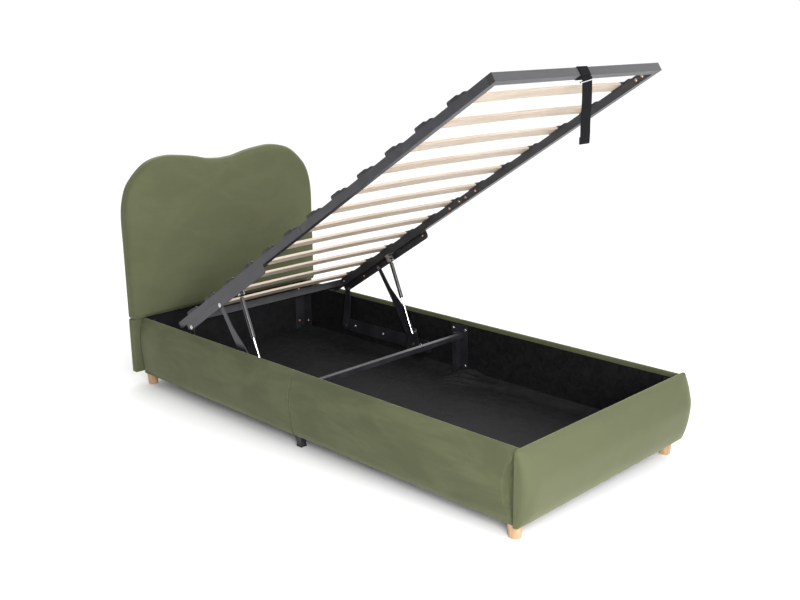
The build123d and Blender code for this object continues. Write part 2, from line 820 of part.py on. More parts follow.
# Plastic caps in the open ends of the frame's tubes
with BuildPart(frame_plane) as tube_end_caps:
    plug_clear = 2 * steel_wall + 2 * sleeve_clearance
    for side in (-1, 1):
        with Locations((frame_length - tube_width / 2, side * frame_half_width, tube_height / 2)):
            Box(tube_width, 2 * cap_thickness, tube_height)
        with Locations(
            (frame_length - tube_width / 2, side * (frame_half_width - 4 * cap_thickness), tube_height / 2)
        ):
            Box(tube_width - plug_clear, 6 * cap_thickness, tube_height - plug_clear)
        with Locations((-cap_thickness / 2, side * (tube_inner + tube_width / 2), tube_height / 2)):
            Box(cap_thickness, tube_width, tube_height)
        with Locations((2 * cap_thickness, side * (tube_inner + tube_width / 2), tube_height / 2)):
            Box(4 * cap_thickness, tube_width - plug_clear, tube_height - plug_clear)
    with Locations((frame_length / 2, 0, tube_height / 2)):
        Box(
            2 * frame_length, 2 * frame_half_width, 2 * tube_height, mode=Mode.INTERSECT,
        )
keep(tube_end_caps.part, "tube_end_caps")

# Slats: gently bowed, their ends held in plastic holders on the side tubes
holder_inner_x = tube_inner - 2
slat_half_length = frame_half_width - holder_wall - slat_end_play
slat_low = tube_height + holder_floor + holder_clearance / 4
slat_places = [slat_first + i * slat_pitch for i in range(slat_count)]
for index, slat_u in enumerate(slat_places):
    with BuildPart(frame_plane) as slat:
        with BuildSketch(frame_plane * Plane(
            origin=(slat_u - slat_width / 2, 0, 0), x_dir=(0, 1, 0), z_dir=(1, 0, 0)
        )):
            with BuildLine():
                left_low = (-slat_half_length, slat_low)
                right_low = (slat_half_length, slat_low)
                right_high = (slat_half_length, slat_low + slat_thickness)
                left_high = (-slat_half_length, slat_low + slat_thickness)
                ThreePointArc(left_low, (0, slat_low + slat_bow), right_low)
                Line(right_low, right_high)
                ThreePointArc(right_high, (0, slat_low + slat_thickness + slat_bow), left_high)
                Line(left_high, left_low)
            make_face()
        extrude(amount=slat_width)
    keep(slat.part, f"slat_{index + 1:02d}")

slat_rise = slat_bow * (1 - (holder_inner_x / slat_half_length) ** 2)
pocket_top = slat_low + slat_thickness + slat_rise + holder_clearance
holder_top = pocket_top + holder_wall
holder_half = slat_width / 2 + holder_clearance / 2 + holder_wall
holder_mid, holder_run = across(1, holder_inner_x, frame_half_width)
with BuildPart(frame_plane) as slat_holders:
    for side in (-1, 1):
        for slat_u in slat_places:
            with Locations((slat_u, side * holder_mid, tube_height)):
                Box(
                    2 * holder_half, holder_run, holder_top - tube_height,
                    align=(Align.CENTER, Align.CENTER, Align.MIN),
                )
            with Locations((slat_u + holder_half, side * (holder_mid + clip_inset), tube_height)):
                Box(
                    clip_length, holder_run - 2 * clip_inset, clip_height,
                    align=(Align.MIN, Align.CENTER, Align.MIN),
                )
            with Locations((slat_u, side * (holder_mid - holder_wall), tube_height + holder_floor)):
                Box(
                    slat_width + holder_clearance, holder_run, pocket_top - tube_height - holder_floor,
                    align=(Align.CENTER, Align.CENTER, Align.MIN), mode=Mode.SUBTRACT,
                )
            screw_u = slat_u + holder_half + 0.6 * clip_length
            with Locations((screw_u, side * (holder_mid + clip_inset), tube_height + clip_height / 2)):
                Cylinder(screw_shank + sleeve_clearance, clip_height, mode=Mode.SUBTRACT)
keep(slat_holders.part, "slat_holders")

with BuildPart(frame_plane) as holder_screws:
    for side in (-1, 1):
        for slat_u in slat_places:
            screw_u = slat_u + holder_half + 0.6 * clip_length
            with Locations((screw_u, side * (holder_mid + clip_inset), tube_height)):
                Cylinder(
                    screw_shank, clip_height, align=(Align.CENTER, Align.CENTER, Align.MIN)
                )
            with Locations((screw_u, side * (holder_mid + clip_inset), tube_height + clip_height)):
                Cylinder(
                    screw_radius, screw_head, align=(Align.CENTER, Align.CENTER, Align.MIN)
                )
keep(holder_screws.part, "holder_screws")

# Upper rails: steel angles under the side tubes that carry the moving pins
for side in (-1, 1):
    with BuildPart(frame_plane) as upper_rail:
        flange_mid, flange_run = across(side, frame_half_width - upper_rail_plate, frame_half_width)
        shelf_mid, shelf_run = across(side, tube_inner, frame_half_width)
        rail_mid_u = (upper_rail_start + upper_rail_end) / 2
        rail_run_u = upper_rail_end - upper_rail_start
        with Locations((rail_mid_u, flange_mid, 0)):
            Box(
                rail_run_u, flange_run, upper_rail_drop,
                align=(Align.CENTER, Align.CENTER, Align.MAX),
            )
        with Locations((rail_mid_u, shelf_mid, 0)):
            Box(
                rail_run_u, shelf_run, upper_rail_plate,
                align=(Align.CENTER, Align.CENTER, Align.MAX),
            )
    with BuildPart() as drilled_rail:
        add(upper_rail.part)
        lower_ends = drilled_rail.edges().filter_by(Axis.X).filter_by(
            lambda edge: edge.length < upper_rail_plate + 0.1
            and frame_plane.to_local_coords(edge.center()).Z < -upper_rail_drop + 0.1
        )
        fillet(lower_ends, radius=upper_rail_drop / 2)
        for pin_place in (rear_pin, front_pin):
            round_bar(side, tube_inner + 5, frame_half_width + 1, pin_place,
                      pin_radius + pin_clearance / 2, Mode.SUBTRACT)
    keep(drilled_rail.part, f"upper_rail_{side_name(side)}")

# Moving pins: carried by the upper rails, with a head inside the arm and a rivet outside
with BuildPart() as link_pins:
    for side in (-1, 1):
        for pin_place in (rear_pin, front_pin):
            head_outer = arm_inner - arm_running_gap
            round_bar(side, head_outer, frame_half_width, pin_place, pin_radius)
            round_bar(side, head_outer - pin_head_height, head_outer, pin_place, pin_head_radius)
            round_bar(side, frame_half_width, frame_half_width + 1.5, pin_place, pin_head_radius)
keep(link_pins.part, "link_pins")

# Bolts of the slatted frame: heads on the inner faces of the tubes and of the upper rails
with BuildPart(frame_plane) as frame_bolts:
    for side in (-1, 1):
        for bolt_u in bolt_steps:
            shank_mid, shank_run = across(side, tube_inner, tube_inner + 4 * steel_wall)
            head_mid, head_run = across(side, tube_inner - bolt_head_height, tube_inner)
            with Locations((bolt_u, shank_mid, tube_height / 2)):
                Cylinder(bolt_shank_radius, shank_run, rotation=(90, 0, 0))
            with Locations((bolt_u, head_mid, tube_height / 2)):
                Cylinder(bolt_head_radius - 1, head_run, rotation=(90, 0, 0))
        for bolt_u, bolt_n in upper_rail_bolts:
            flange_inner = frame_half_width - upper_rail_plate
            head_mid, head_run = across(side, flange_inner - bolt_head_height, flange_inner)
            with Locations((bolt_u, head_mid, bolt_n)):
                Cylinder(bolt_head_radius - 1, head_run, rotation=(90, 0, 0))
keep(frame_bolts.part, "frame_bolts")

# Strut brackets: small zinc forks under the upper rails, each with its pin
fork_inner = strut_plane - strut_radius - arm_running_gap
fork_outer = strut_plane + strut_radius + arm_running_gap
with BuildPart(frame_plane) as strut_forks:
    for side in (-1, 1):
        base_mid, base_run = across(side, fork_inner - strut_bracket_plate, arm_inner - arm_running_gap)
        with Locations((strut_top_u, base_mid, -upper_rail_plate)):
            Box(
                2 * strut_bracket_half_length, base_run, strut_bracket_plate,
                align=(Align.CENTER, Align.CENTER, Align.MAX),
            )
        for near, far in (
            (fork_inner - strut_bracket_plate, fork_inner),
            (fork_outer, fork_outer + strut_bracket_plate),
        ):
            ear_mid, ear_run = across(side, near, far)
            with Locations((strut_top_u, ear_mid, -upper_rail_plate - strut_bracket_plate)):
                Box(
                    2 * (strut_eye_radius + 1), ear_run,
                    -strut_top_n - upper_rail_plate - strut_bracket_plate,
                    align=(Align.CENTER, Align.CENTER, Align.MAX),
                )
            with Locations((strut_top_u, ear_mid, strut_top_n)):
                Cylinder(strut_eye_radius + 1, ear_run, rotation=(90, 0, 0))
        with Locations((strut_top_u, side * strut_plane, strut_top_n)):
            Cylinder(
                strut_pin_radius + pin_clearance / 2, 4 * strut_radius,
                rotation=(90, 0, 0), mode=Mode.SUBTRACT,
            )
        with Locations((strut_top_u, side * strut_plane, strut_top_n)):
            Cylinder(
                strut_pin_radius, fork_outer - fork_inner + 2 * strut_bracket_plate + 4,
                rotation=(90, 0, 0),
            )
keep(strut_forks.part, "strut_brackets")

# Gas struts: a black cylinder hung from the frame and a bright rod from the base
strut_span = hypot(strut_top[0] - strut_foot[0], strut_top[1] - strut_foot[1])
strut_angle = degrees(atan2(strut_top[0] - strut_foot[0], strut_top[1] - strut_foot[1]))


def strut_plane_at(side, from_foot):
    """A plane across a strut, facing up along it from its foot."""
    share = from_foot / strut_span
    y = strut_foot[0] + share * (strut_top[0] - strut_foot[0])
    z = strut_foot[1] + share * (strut_top[1] - strut_foot[1])
    return Plane(
        origin=(side * strut_plane, y, z),
        x_dir=(1, 0, 0),
        z_dir=(0, sin(radians(strut_angle)), cos(radians(strut_angle))),
    )


cylinder_open_end = strut_span - strut_cylinder_end
with BuildPart() as strut_cylinders:
    for side in (-1, 1):
        with BuildSketch(strut_plane_at(side, cylinder_open_end)):
            Circle(strut_radius)
        extrude(amount=strut_cylinder_end - strut_neck)
        with BuildSketch(strut_plane_at(side, strut_span - strut_neck)):
            Circle(strut_eye_width / 2)
        extrude(amount=strut_neck - strut_pin_radius)
        near = strut_plane - strut_eye_width / 2
        round_bar(side, near, near + strut_eye_width, strut_top, strut_eye_radius)
        round_bar(side, near - 1, near + strut_eye_width + 1, strut_top,
                  strut_pin_radius + pin_clearance, Mode.SUBTRACT)
        with BuildSketch(strut_plane_at(side, cylinder_open_end)):
            Circle(rod_radius + rod_running_clearance)
        extrude(amount=4 * strut_wall, mode=Mode.SUBTRACT)
        with BuildSketch(strut_plane_at(side, cylinder_open_end + 4 * strut_wall)):
            Circle(strut_radius - strut_wall)
        extrude(amount=strut_cylinder_end - strut_neck - 6 * strut_wall, mode=Mode.SUBTRACT)
keep(strut_cylinders.part, "strut_cylinders")

with BuildPart() as strut_rods:
    rod_end = cylinder_open_end + rod_overlap
    for side in (-1, 1):
        with BuildSketch(strut_plane_at(side, 0)):
            Circle(rod_radius)
        extrude(amount=rod_end)
        with BuildSketch(strut_plane_at(side, rod_end - rod_piston_length)):
            Circle(strut_radius - strut_wall - rod_running_clearance)
        extrude(amount=rod_piston_length)
        with BuildSketch(strut_plane_at(side, -rod_socket_radius)):
            Circle(rod_socket_radius)
        extrude(amount=rod_socket_length)
        round_bar(side, strut_plane, channel_inner - arm_running_gap, strut_foot, rod_radius)
keep(strut_rods.part, "strut_rods")

# Pull strap: a webbing loop round the foot-end tube with a hanging tail, and a wire ring
loop_inner = hypot(tube_width, tube_height) / 2 + strap_loop_clearance
with BuildPart() as strap:
    with BuildSketch(Plane.YZ.offset(strap_centre_x - strap_width / 2)):
        with Locations(tube_centre):
            Circle(loop_inner + strap_thickness)
            Rectangle(strap_thickness, strap_length, align=(Align.CENTER, Align.MAX))
        with Locations((tube_centre[0], tube_centre[1] - strap_length)):
            Rectangle(strap_hem_thickness, strap_hem, align=(Align.CENTER, Align.MIN))
        with Locations(tube_centre):
            Circle(loop_inner, mode=Mode.SUBTRACT)
    extrude(amount=strap_width)
keep(strap.part, "strap_webbing")

ring_z = tube_centre[1] - loop_inner - strap_thickness - ring_drop
ring_depth = strap_thickness + 2 * soft_gap + 2 * ring_wire
ring_width = strap_width + 2 * ring_margin
with BuildPart() as ring:
    with BuildSketch(Plane.XY.offset(ring_z)):
        with Locations((strap_centre_x, tube_centre[0])):
            Rectangle(ring_width + 2 * ring_wire, ring_depth + 2 * ring_wire)
            Rectangle(ring_width - 2 * ring_wire, ring_depth - 2 * ring_wire, mode=Mode.SUBTRACT)
    extrude(amount=2 * ring_wire)
keep(ring.part, "strap_ring")

print("overall", overall_length, "foot end", foot_end, "head end", head_end)
print("pins", front_pin, rear_pin, "strut top", strut_top, "tube centre", tube_centre)
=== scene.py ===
# %% [markdown]
# An ottoman bed in Blender: green velvet over a box base, a black lining, and a slatted steel
# frame that lifts on gas struts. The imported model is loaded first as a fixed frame, so that
# every piece made here goes where the model says, in metres, with the floor at z = 0.
# The foot end of the bed is towards -Y, and its left side is towards -X.

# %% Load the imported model
import math

import bmesh
import bpy
import numpy as np
from mathutils import Matrix, Vector, noise


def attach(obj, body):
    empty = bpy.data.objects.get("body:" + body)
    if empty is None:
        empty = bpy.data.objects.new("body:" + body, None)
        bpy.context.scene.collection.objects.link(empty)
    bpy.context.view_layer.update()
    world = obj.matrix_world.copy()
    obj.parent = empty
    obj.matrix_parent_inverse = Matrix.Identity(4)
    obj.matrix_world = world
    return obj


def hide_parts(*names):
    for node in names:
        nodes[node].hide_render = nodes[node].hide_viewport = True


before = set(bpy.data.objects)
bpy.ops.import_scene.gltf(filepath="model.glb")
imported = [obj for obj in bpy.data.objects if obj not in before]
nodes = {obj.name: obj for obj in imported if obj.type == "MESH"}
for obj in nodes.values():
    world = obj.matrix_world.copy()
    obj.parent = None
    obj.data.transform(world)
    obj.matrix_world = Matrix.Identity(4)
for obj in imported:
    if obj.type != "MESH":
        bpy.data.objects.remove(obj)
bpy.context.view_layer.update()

# %% [markdown]
# The camera comes first, because every later choice is judged through it. Its place was solved
# from the straight edges of the rails. A few numbers are enough: where it stands, how far it is
# turned and tipped, a small roll, and the focal length for a 36 mm sensor.

# %% Camera
camera_place = Vector((-2.68747, -2.75619, 1.52111))
camera_turn = 0.78692
camera_dip = 0.26254
camera_roll = -0.01075
camera_lens = 45.464


def camera_axes(turn, dip, roll):
    """The right, up and back directions of a camera."""
    forward = math.cos(dip)
    ahead = Vector((math.sin(turn) * forward, math.cos(turn) * forward, -math.sin(dip)))
    level = Vector((math.cos(turn), -math.sin(turn), 0))
    upward = level.cross(ahead)
    right = level * math.cos(roll) + upward * math.sin(roll)
    up = upward * math.cos(roll) - level * math.sin(roll)
    return right, up, -ahead


camera_data = bpy.data.cameras.new("photo_camera")
camera_data.lens = camera_lens
camera_data.sensor_width = 36
camera_data.clip_end = 60
camera = bpy.data.objects.new("photo_camera", camera_data)
bpy.context.scene.collection.objects.link(camera)
axes = camera_axes(camera_turn, camera_dip, camera_roll)
camera.matrix_world = Matrix.Translation(camera_place) @ Matrix(axes).transposed().to_4x4()
bpy.context.scene.camera = camera
print("camera at", [round(v, 3) for v in camera_place])

# %% [markdown]
# Materials are mixed from nodes. Writing node trees by hand is long, so one small class wraps a
# socket and lets Python's own operators add the Math nodes: mask * 0.5 + 0.2 becomes two nodes.
# Colours don't go through Math nodes, which would turn them grey, but through Mix nodes.


# %% A socket that does arithmetic
class Wire:
    """The output of a node, which adds Math nodes when it is calculated with."""

    def __init__(self, paint, socket):
        self.paint = paint
        self.socket = socket

    def math(self, operation, *others):
        inputs = dict(enumerate((self,) + others))
        return self.paint.node("ShaderNodeMath", {"operation": operation}, inputs)

    def __add__(self, other):
        return self.math("ADD", other)

    def __sub__(self, other):
        return self.math("SUBTRACT", other)

    def __rsub__(self, other):
        return self.paint.node("ShaderNodeMath", {"operation": "SUBTRACT"}, {0: other, 1: self})

    def __mul__(self, other):
        return self.math("MULTIPLY", other)

    def __truediv__(self, other):
        return self.math("DIVIDE", other)

    __radd__ = __add__
    __rmul__ = __mul__

    def clamped(self):
        return self.math("MAXIMUM", 0.0).math("MINIMUM", 1.0)

    def step(self, low, high):
        """0 below low, 1 above high, and smooth between."""
        share = ((self - low) / (high - low)).clamped()
        return share * share * (3.0 - 2.0 * share)


# %% A material being mixed
class Paint:
    """A material, its shader, and one method that adds any other node."""

    def __init__(self, name, specular=0.5, **constants):
        self.material = bpy.data.materials.new(name)
        self.material.use_nodes = True
        self.tree = self.material.node_tree
        self.shader = self.tree.nodes["Principled BSDF"]
        self.shader.inputs["Specular IOR Level"].default_value = specular
        for socket, value in constants.items():
            self.shader.inputs[socket.replace("_", " ").title()].default_value = value

    def node(self, kind, settings=None, inputs=None, output=0):
        made = self.tree.nodes.new(kind)
        for key, value in (settings or {}).items():
            setattr(made, key, value)
        for key, value in (inputs or {}).items():
            if isinstance(value, Wire):
                self.tree.links.new(value.socket, made.inputs[key])
            else:
                made.inputs[key].default_value = value
        return Wire(self, made.outputs[output])

    def place(self):
        """Where a point lies on the object, in metres."""
        return self.node("ShaderNodeTexCoord", output="Object")

    def stretched(self, vector, scale):
        """The same place, finer along some axes."""
        settings = {"operation": "MULTIPLY"}
        return self.node("ShaderNodeVectorMath", settings, {0: vector, 1: scale})

    def along(self, vector, direction):
        """How far a place lies along a direction, as a number."""
        settings = {"operation": "DOT_PRODUCT"}
        return self.node("ShaderNodeVectorMath", settings, {0: vector, 1: direction}, "Value")

    def cloud(self, vector, scale, detail=2.0, roughness=0.5, distortion=0.0):
        inputs = {"Vector": vector, "Scale": scale, "Detail": detail}
        inputs.update({"Roughness": roughness, "Distortion": distortion})
        return self.node("ShaderNodeTexNoise", None, inputs)

    def cells(self, vector, scale):
        return self.node("ShaderNodeTexVoronoi", None, {"Vector": vector, "Scale": scale})

    def blend(self, share, first, second):
        """A colour between two colours."""
        ends = [(*c, 1) if isinstance(c, tuple) else c for c in (first, second)]
        settings = {"data_type": "RGBA"}
        inputs = {0: share, 6: ends[0], 7: ends[1]}
        return self.node("ShaderNodeMix", settings, inputs, output=2)

    def bump(self, height, strength, distance, normal=None):
        inputs = {"Height": height, "Strength": strength, "Distance": distance}
        if normal is not None:
            inputs["Normal"] = normal
        return self.node("ShaderNodeBump", None, inputs)

    def feed(self, **wires):
        """Links what changes over the surface to the shader."""
        for name, wire in wires.items():
            self.tree.links.new(wire.socket, self.shader.inputs[name.replace("_", " ").title()])
        return self.material


print("the paint box is ready")

# %% [markdown]
# Velvet is a short pile that stands up from a woven back. Seen straight on, light falls between
# the fibres and the cloth is deep; seen along the surface, the fibre ends catch the light. That
# sheen is painted into the colour, which runs from deep to pale with the angle of view, as Layer
# Weight gives it, with the shader's own sheen on top. Hands brush the pile into soft patches,
# which a stretched noise lays over the colour.

# %% Green velvet
pile_deep = (0.053, 0.062, 0.031)
pile_mid = (0.092, 0.101, 0.053)
pile_tip_and_sheen = (0.200, 0.205, 0.128)


def velvet_paint(name, painted_shade_tone=1.0, patch_strength=0.55):
    """Velvet, made lighter or darker as a whole, as painted shade that stands in for how the lamps
    light each cover.
    """
    paint = Paint(name, specular=0.18, roughness=0.88, sheen_weight=0.22, sheen_roughness=0.32,
                  sheen_tint=(0.62, 0.70, 0.45, 1))
    place = paint.place()
    sweep = paint.cloud(paint.stretched(place, (1.3, 1.0, 2.4)), 3.4, 5.0, 0.56, 0.7)
    streak = paint.cloud(paint.stretched(place, (7.0, 3.0, 30.0)), 2.0, 3.0, 0.6)
    patches = (sweep * 0.8 + streak * 0.2).step(0.36, 0.62)
    fibres = paint.cloud(place, 900.0, 2.0, 0.7)
    # Painted sheen: towards grazing view the colour is mixed to the pale fibre-end colour, a
    # highlight painted into the base colour.
    grazing = paint.node("ShaderNodeLayerWeight", None, {"Blend": 0.42}, output=1)
    painted_sheen_mask = grazing.step(0.25, 1.0)
    # The painted shade factor scales all three pile colours, to balance how the lamps light this
    # cover.
    deep, mid, tip_and_sheen = (tuple(c * painted_shade_tone for c in pile) for pile in (pile_deep, pile_mid, pile_tip_and_sheen))
    brushed = paint.blend(patches * patch_strength, mid, deep)
    speckled = paint.blend((fibres - 0.5).clamped() * 0.9, brushed, tip_and_sheen)
    # The painted sheen is laid over the speckled velvet colour here.
    colour = paint.blend(painted_sheen_mask * 0.75, speckled, tip_and_sheen)
    folds = paint.cloud(place, 26.0, 2.0, 0.5)
    rolled = paint.bump(folds, 0.10, 0.01)
    pile = paint.bump(fibres, 0.16, 0.0012, rolled)
    paint.feed(base_color=colour, normal=pile)
    return paint.material


# Lit and shaded copies of one velvet: the rails and footboard are painted darker than the
# headboard, as painted shade that balances the lamps on each piece.
velvet = velvet_paint("green_velvet", 1.0, 0.28)
velvet_side = velvet_paint("green_velvet_rails", 0.92, 0.62)
velvet_front = velvet_paint("green_velvet_footboard", 0.88, 0.12)
print("velvets", velvet.name, velvet_side.name, velvet_front.name)

# %% [markdown]
# The lining is a black non-woven felt, pressed with tiny dots and never quite flat. It is
# nearly black face on, with a dull shine where it curves, so it keeps a middling roughness.
# The bump is in three sizes: the pressed dots, a crinkle, and slow waves.

# %% Black lining, webbing and plastic
felt_dark, felt_pale = (0.0030, 0.0031, 0.0036), (0.0085, 0.0087, 0.0098)
lining_paint = Paint("black_lining", specular=0.22)
place = lining_paint.place()
crinkle = lining_paint.cloud(place, 38.0, 5.0, 0.6, 0.8)
waves = lining_paint.cloud(place, 6.0, 2.0)
dots = lining_paint.cells(place, 520.0)
felt_colour = lining_paint.blend(crinkle.step(0.3, 0.75), felt_dark, felt_pale)
wavy = lining_paint.bump(waves, 0.25, 0.03)
crinkled = lining_paint.bump(crinkle, 0.35, 0.006, wavy)
dotted = lining_paint.bump(dots, 0.25, 0.0006, crinkled)
felt_rough = 0.50 + crinkle * 0.25
black_lining = lining_paint.feed(base_color=felt_colour, roughness=felt_rough, normal=dotted)

webbing_paint = Paint("black_webbing", specular=0.10, roughness=0.85)
place = webbing_paint.place()
across_weave = webbing_paint.along(place, (620.0, 0.0, 0.0)).math("SINE")
along_weave = webbing_paint.along(place, (0.0, 900.0, 1500.0)).math("SINE")
weave = (across_weave * along_weave) * 0.5 + 0.5
thread = webbing_paint.blend(weave, (0.003, 0.003, 0.0035), (0.009, 0.009, 0.010))
woven = webbing_paint.bump(weave, 0.5, 0.0008)
black_webbing = webbing_paint.feed(base_color=thread, normal=woven)

plastic_dark, plastic_pale = (0.012, 0.012, 0.013), (0.024, 0.024, 0.025)
plastic_paint = Paint("black_plastic")
place = plastic_paint.place()
skin = plastic_paint.cloud(place, 1400.0, 2.0)
scuffs = plastic_paint.cloud(place, 60.0, 4.0)
plastic_colour = plastic_paint.blend(scuffs.step(0.45, 0.8), plastic_dark, plastic_pale)
black_plastic = plastic_paint.feed(
    base_color=plastic_colour,
    roughness=0.42 + scuffs * 0.2,
    normal=plastic_paint.bump(skin, 0.12, 0.0003),
)
print("black finishes", black_lining.name, black_webbing.name, black_plastic.name)

# %% [markdown]
# Powder coat on the steel is a satin charcoal with a faint orange-peel skin. Folded and drawn
# steel has no knife edges: the Bevel node rounds what the light sees at every edge without
# touching the mesh, which gives the thin bright lines that real tubes have.

# %% Steel, zinc, copper and chrome


def coated_steel(name, dark, light, rough, round_edge):
    paint = Paint(name, specular=0.75, metallic=0.15)
    place = paint.place()
    peel = paint.cloud(place, 700.0, 2.0)
    dust = paint.cloud(place, 14.0, 4.0, 0.6)
    colour = paint.blend(dust.step(0.35, 0.75), dark, light)
    rounded = paint.node("ShaderNodeBevel", {"samples": 4}, {"Radius": round_edge})
    normal = paint.bump(peel, 0.10, 0.0004, rounded)
    return paint.feed(base_color=colour, roughness=rough + (dust - 0.5) * 0.18, normal=normal)


def plated_metal(name, base, bright, rough):
    paint = Paint(name, metallic=1.0)
    place = paint.place()
    stain = paint.cloud(place, 90.0, 4.0, 0.65)
    scratch = paint.cloud(paint.stretched(place, (40.0, 900.0, 900.0)), 1.0, 2.0)
    colour = paint.blend(stain.step(0.3, 0.75), base, bright)
    normal = paint.bump(scratch, 0.12, 0.0002)
    return paint.feed(base_color=colour, roughness=rough + stain * 0.12, normal=normal)


charcoal_dark, charcoal_pale = (0.014, 0.0145, 0.018), (0.026, 0.027, 0.032)
strut_dark, strut_pale = (0.008, 0.008, 0.009), (0.016, 0.016, 0.017)
charcoal_steel = coated_steel("charcoal_steel", charcoal_dark, charcoal_pale, 0.38, 0.0016)
strut_black = coated_steel("strut_black", strut_dark, strut_pale, 0.22, 0.0010)
zinc = plated_metal("bright_zinc", (0.42, 0.42, 0.41), (0.68, 0.68, 0.66), 0.26)
copper = plated_metal("copper_plating", (0.42, 0.25, 0.17), (0.74, 0.50, 0.38), 0.28)
chrome = plated_metal("chromed_rod", (0.62, 0.62, 0.63), (0.80, 0.80, 0.80), 0.10)
print("metals", [m.name for m in (charcoal_steel, strut_black, zinc, copper, chrome)])

# %% [markdown]
# The slats are bent birch plywood. Their broad faces show a fine grain that runs along the slat,
# with pale pores and a few pinkish clouds; their long edges show the glued layers as thin lines.
# The layers are stacked across the frame's tilt, so the lines follow one tilted direction.

# %% Birch slats and turned feet
frame_tilt = math.radians(32.31)
tilt_sin = math.sin(frame_tilt)
tilt_cos = math.cos(frame_tilt)

layers_per_turn = 2100.0
slat_paint = Paint("birch_slats", specular=0.35)
place = slat_paint.place()
grain = slat_paint.cloud(slat_paint.stretched(place, (5.0, 260.0, 260.0)), 1.0, 5.0, 0.62, 0.3)
figure = slat_paint.cloud(slat_paint.stretched(place, (1.6, 9.0, 9.0)), 1.0, 3.0, 0.5, 0.8)
birch = slat_paint.blend(grain.step(0.32, 0.70), (0.37, 0.285, 0.21), (0.52, 0.44, 0.365))
toned = slat_paint.blend(figure.step(0.35, 0.8) * 0.55, birch, (0.56, 0.49, 0.415))
across_layers = (0.0, layers_per_turn * tilt_sin, layers_per_turn * tilt_cos)
layers = slat_paint.along(place, across_layers).math("SINE")
facing = slat_paint.node("ShaderNodeNewGeometry", output="Normal")
edge_on = slat_paint.along(facing, (0.0, -tilt_cos, tilt_sin)).math("ABSOLUTE").step(0.75, 0.95)
layered = slat_paint.blend(layers.step(0.55, 0.95) * edge_on * 0.45, toned, (0.34, 0.23, 0.15))
birch_slats = slat_paint.feed(
    base_color=layered,
    roughness=0.42 + grain * 0.2,
    normal=slat_paint.bump(grain, 0.12, 0.0008),
)

foot_paint = Paint("varnished_feet", specular=0.30, roughness=0.42, coat_weight=0.10,
                   coat_roughness=0.25)
place = foot_paint.place()
rings = foot_paint.cloud(foot_paint.stretched(place, (150.0, 150.0, 16.0)), 1.0, 4.0, 0.55, 0.9)
bands = foot_paint.cloud(foot_paint.stretched(place, (30.0, 30.0, 5.0)), 1.0, 2.0)
pine = foot_paint.blend(rings.step(0.3, 0.72), (0.37, 0.20, 0.095), (0.50, 0.33, 0.19))
pine_toned = foot_paint.blend(bands.step(0.4, 0.8) * 0.5, pine, (0.54, 0.39, 0.25))
varnished_feet = foot_paint.feed(base_color=pine_toned, normal=foot_paint.bump(rings, 0.10, 0.001))
print("woods", birch_slats.name, varnished_feet.name)

# %% [markdown]
# Most steel, wood and small metal pieces of the model already have their true shapes, so they
# stay, and only get their finish. Each name below is a piece of the model, and the start of the
# name is enough where several pieces are alike. What isn't named is charcoal steel.

# %% Finishes of the pieces that stay
finishes = {
    "slat_": birch_slats,
    "foot_footboard": varnished_feet,
    "foot_headboard": varnished_feet,
    "rail_boards": birch_slats,
    "footboard_board": birch_slats,
    "centre_leg_caps": black_plastic,
    "tube_end_caps": black_plastic,
    "slat_holders": black_plastic,
    "front_foot_pins": zinc,
    "link_pins": zinc,
    "strut_brackets": zinc,
    "holder_screws": zinc,
    "base_bolts": copper,
    "frame_bolts": zinc,
    "strut_cylinders": strut_black,
    "strut_rods": chrome,
}
for name, node in nodes.items():
    matching = [finish for start, finish in finishes.items() if name.startswith(start)]
    node.data.materials.clear()
    node.data.materials.append(matching[-1] if matching else charcoal_steel)
print("finished", len(nodes), "pieces of the model")

# %% [markdown]
# Every upholstered piece here is a skin drawn over rings: a closed outline is placed many times
# along a line, a little different each time, and neighbouring rings are joined by faces. It
# suits padding better than a box with a bevel, because the outline can swell in the middle and
# draw in at the ends, as cloth does where it is stapled.

# %% Points, skins and pieces


def curve_through(points, steps):
    """A smooth open line through points, with the same number of steps on each span."""
    given = [Vector(p) for p in points]
    padded = [2 * given[0] - given[1]] + given + [2 * given[-1] - given[-2]]
    line = []
    for a, b, c, d in zip(padded, padded[1:], padded[2:], padded[3:]):
        for i in range(steps):
            t = i / steps
            line.append(0.5 * (
                2 * b + (c - a) * t + (2 * a - 5 * b + 4 * c - d) * t * t
                + (3 * b - a - 3 * c + d) * t * t * t
            ))
    line.append(given[-1])
    return line


def ring_faces(count, rows, base=0, joined=False):
    """The faces between neighbouring rings of count points, from point number base on."""
    faces = []
    for row in range(rows if joined else rows - 1):
        low, high = base + row * count, base + (row + 1) % rows * count
        for i in range(count):
            j = (i + 1) % count
            faces.append((low + i, low + j, high + j, high + i))
    return faces


def skin(rings, joined=False):
    """Points and faces over rings, with a flat face on both ends unless the ends are joined."""
    count = len(rings[0])
    points = [p for ring in rings for p in ring]
    faces = ring_faces(count, len(rings), joined=joined)
    if not joined:
        faces.append(tuple(reversed(range(count))))
        faces.append(tuple(range(len(points) - count, len(points))))
    return points, faces


def piece(name, points, faces, finish, body, crease=38.0):
    """A mesh that rides on a body, smooth except where it turns more than the crease angle."""
    mesh = bpy.data.meshes.new(name)
    mesh.from_pydata([tuple(p) for p in points], [], faces)
    work = bmesh.new()
    work.from_mesh(mesh)
    bmesh.ops.remove_doubles(work, verts=work.verts, dist=1e-6)
    bmesh.ops.recalc_face_normals(work, faces=work.faces)
    limit = math.radians(crease)
    for face in work.faces:
        face.smooth = True
    for edge in work.edges:
        edge.smooth = len(edge.link_faces) == 2 and edge.calc_face_angle(0.0) < limit
    work.to_mesh(mesh)
    work.free()
    made = bpy.data.objects.new(name, mesh)
    made.data.materials.append(finish)
    bpy.context.scene.collection.objects.link(made)
    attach(made, body)
    return made


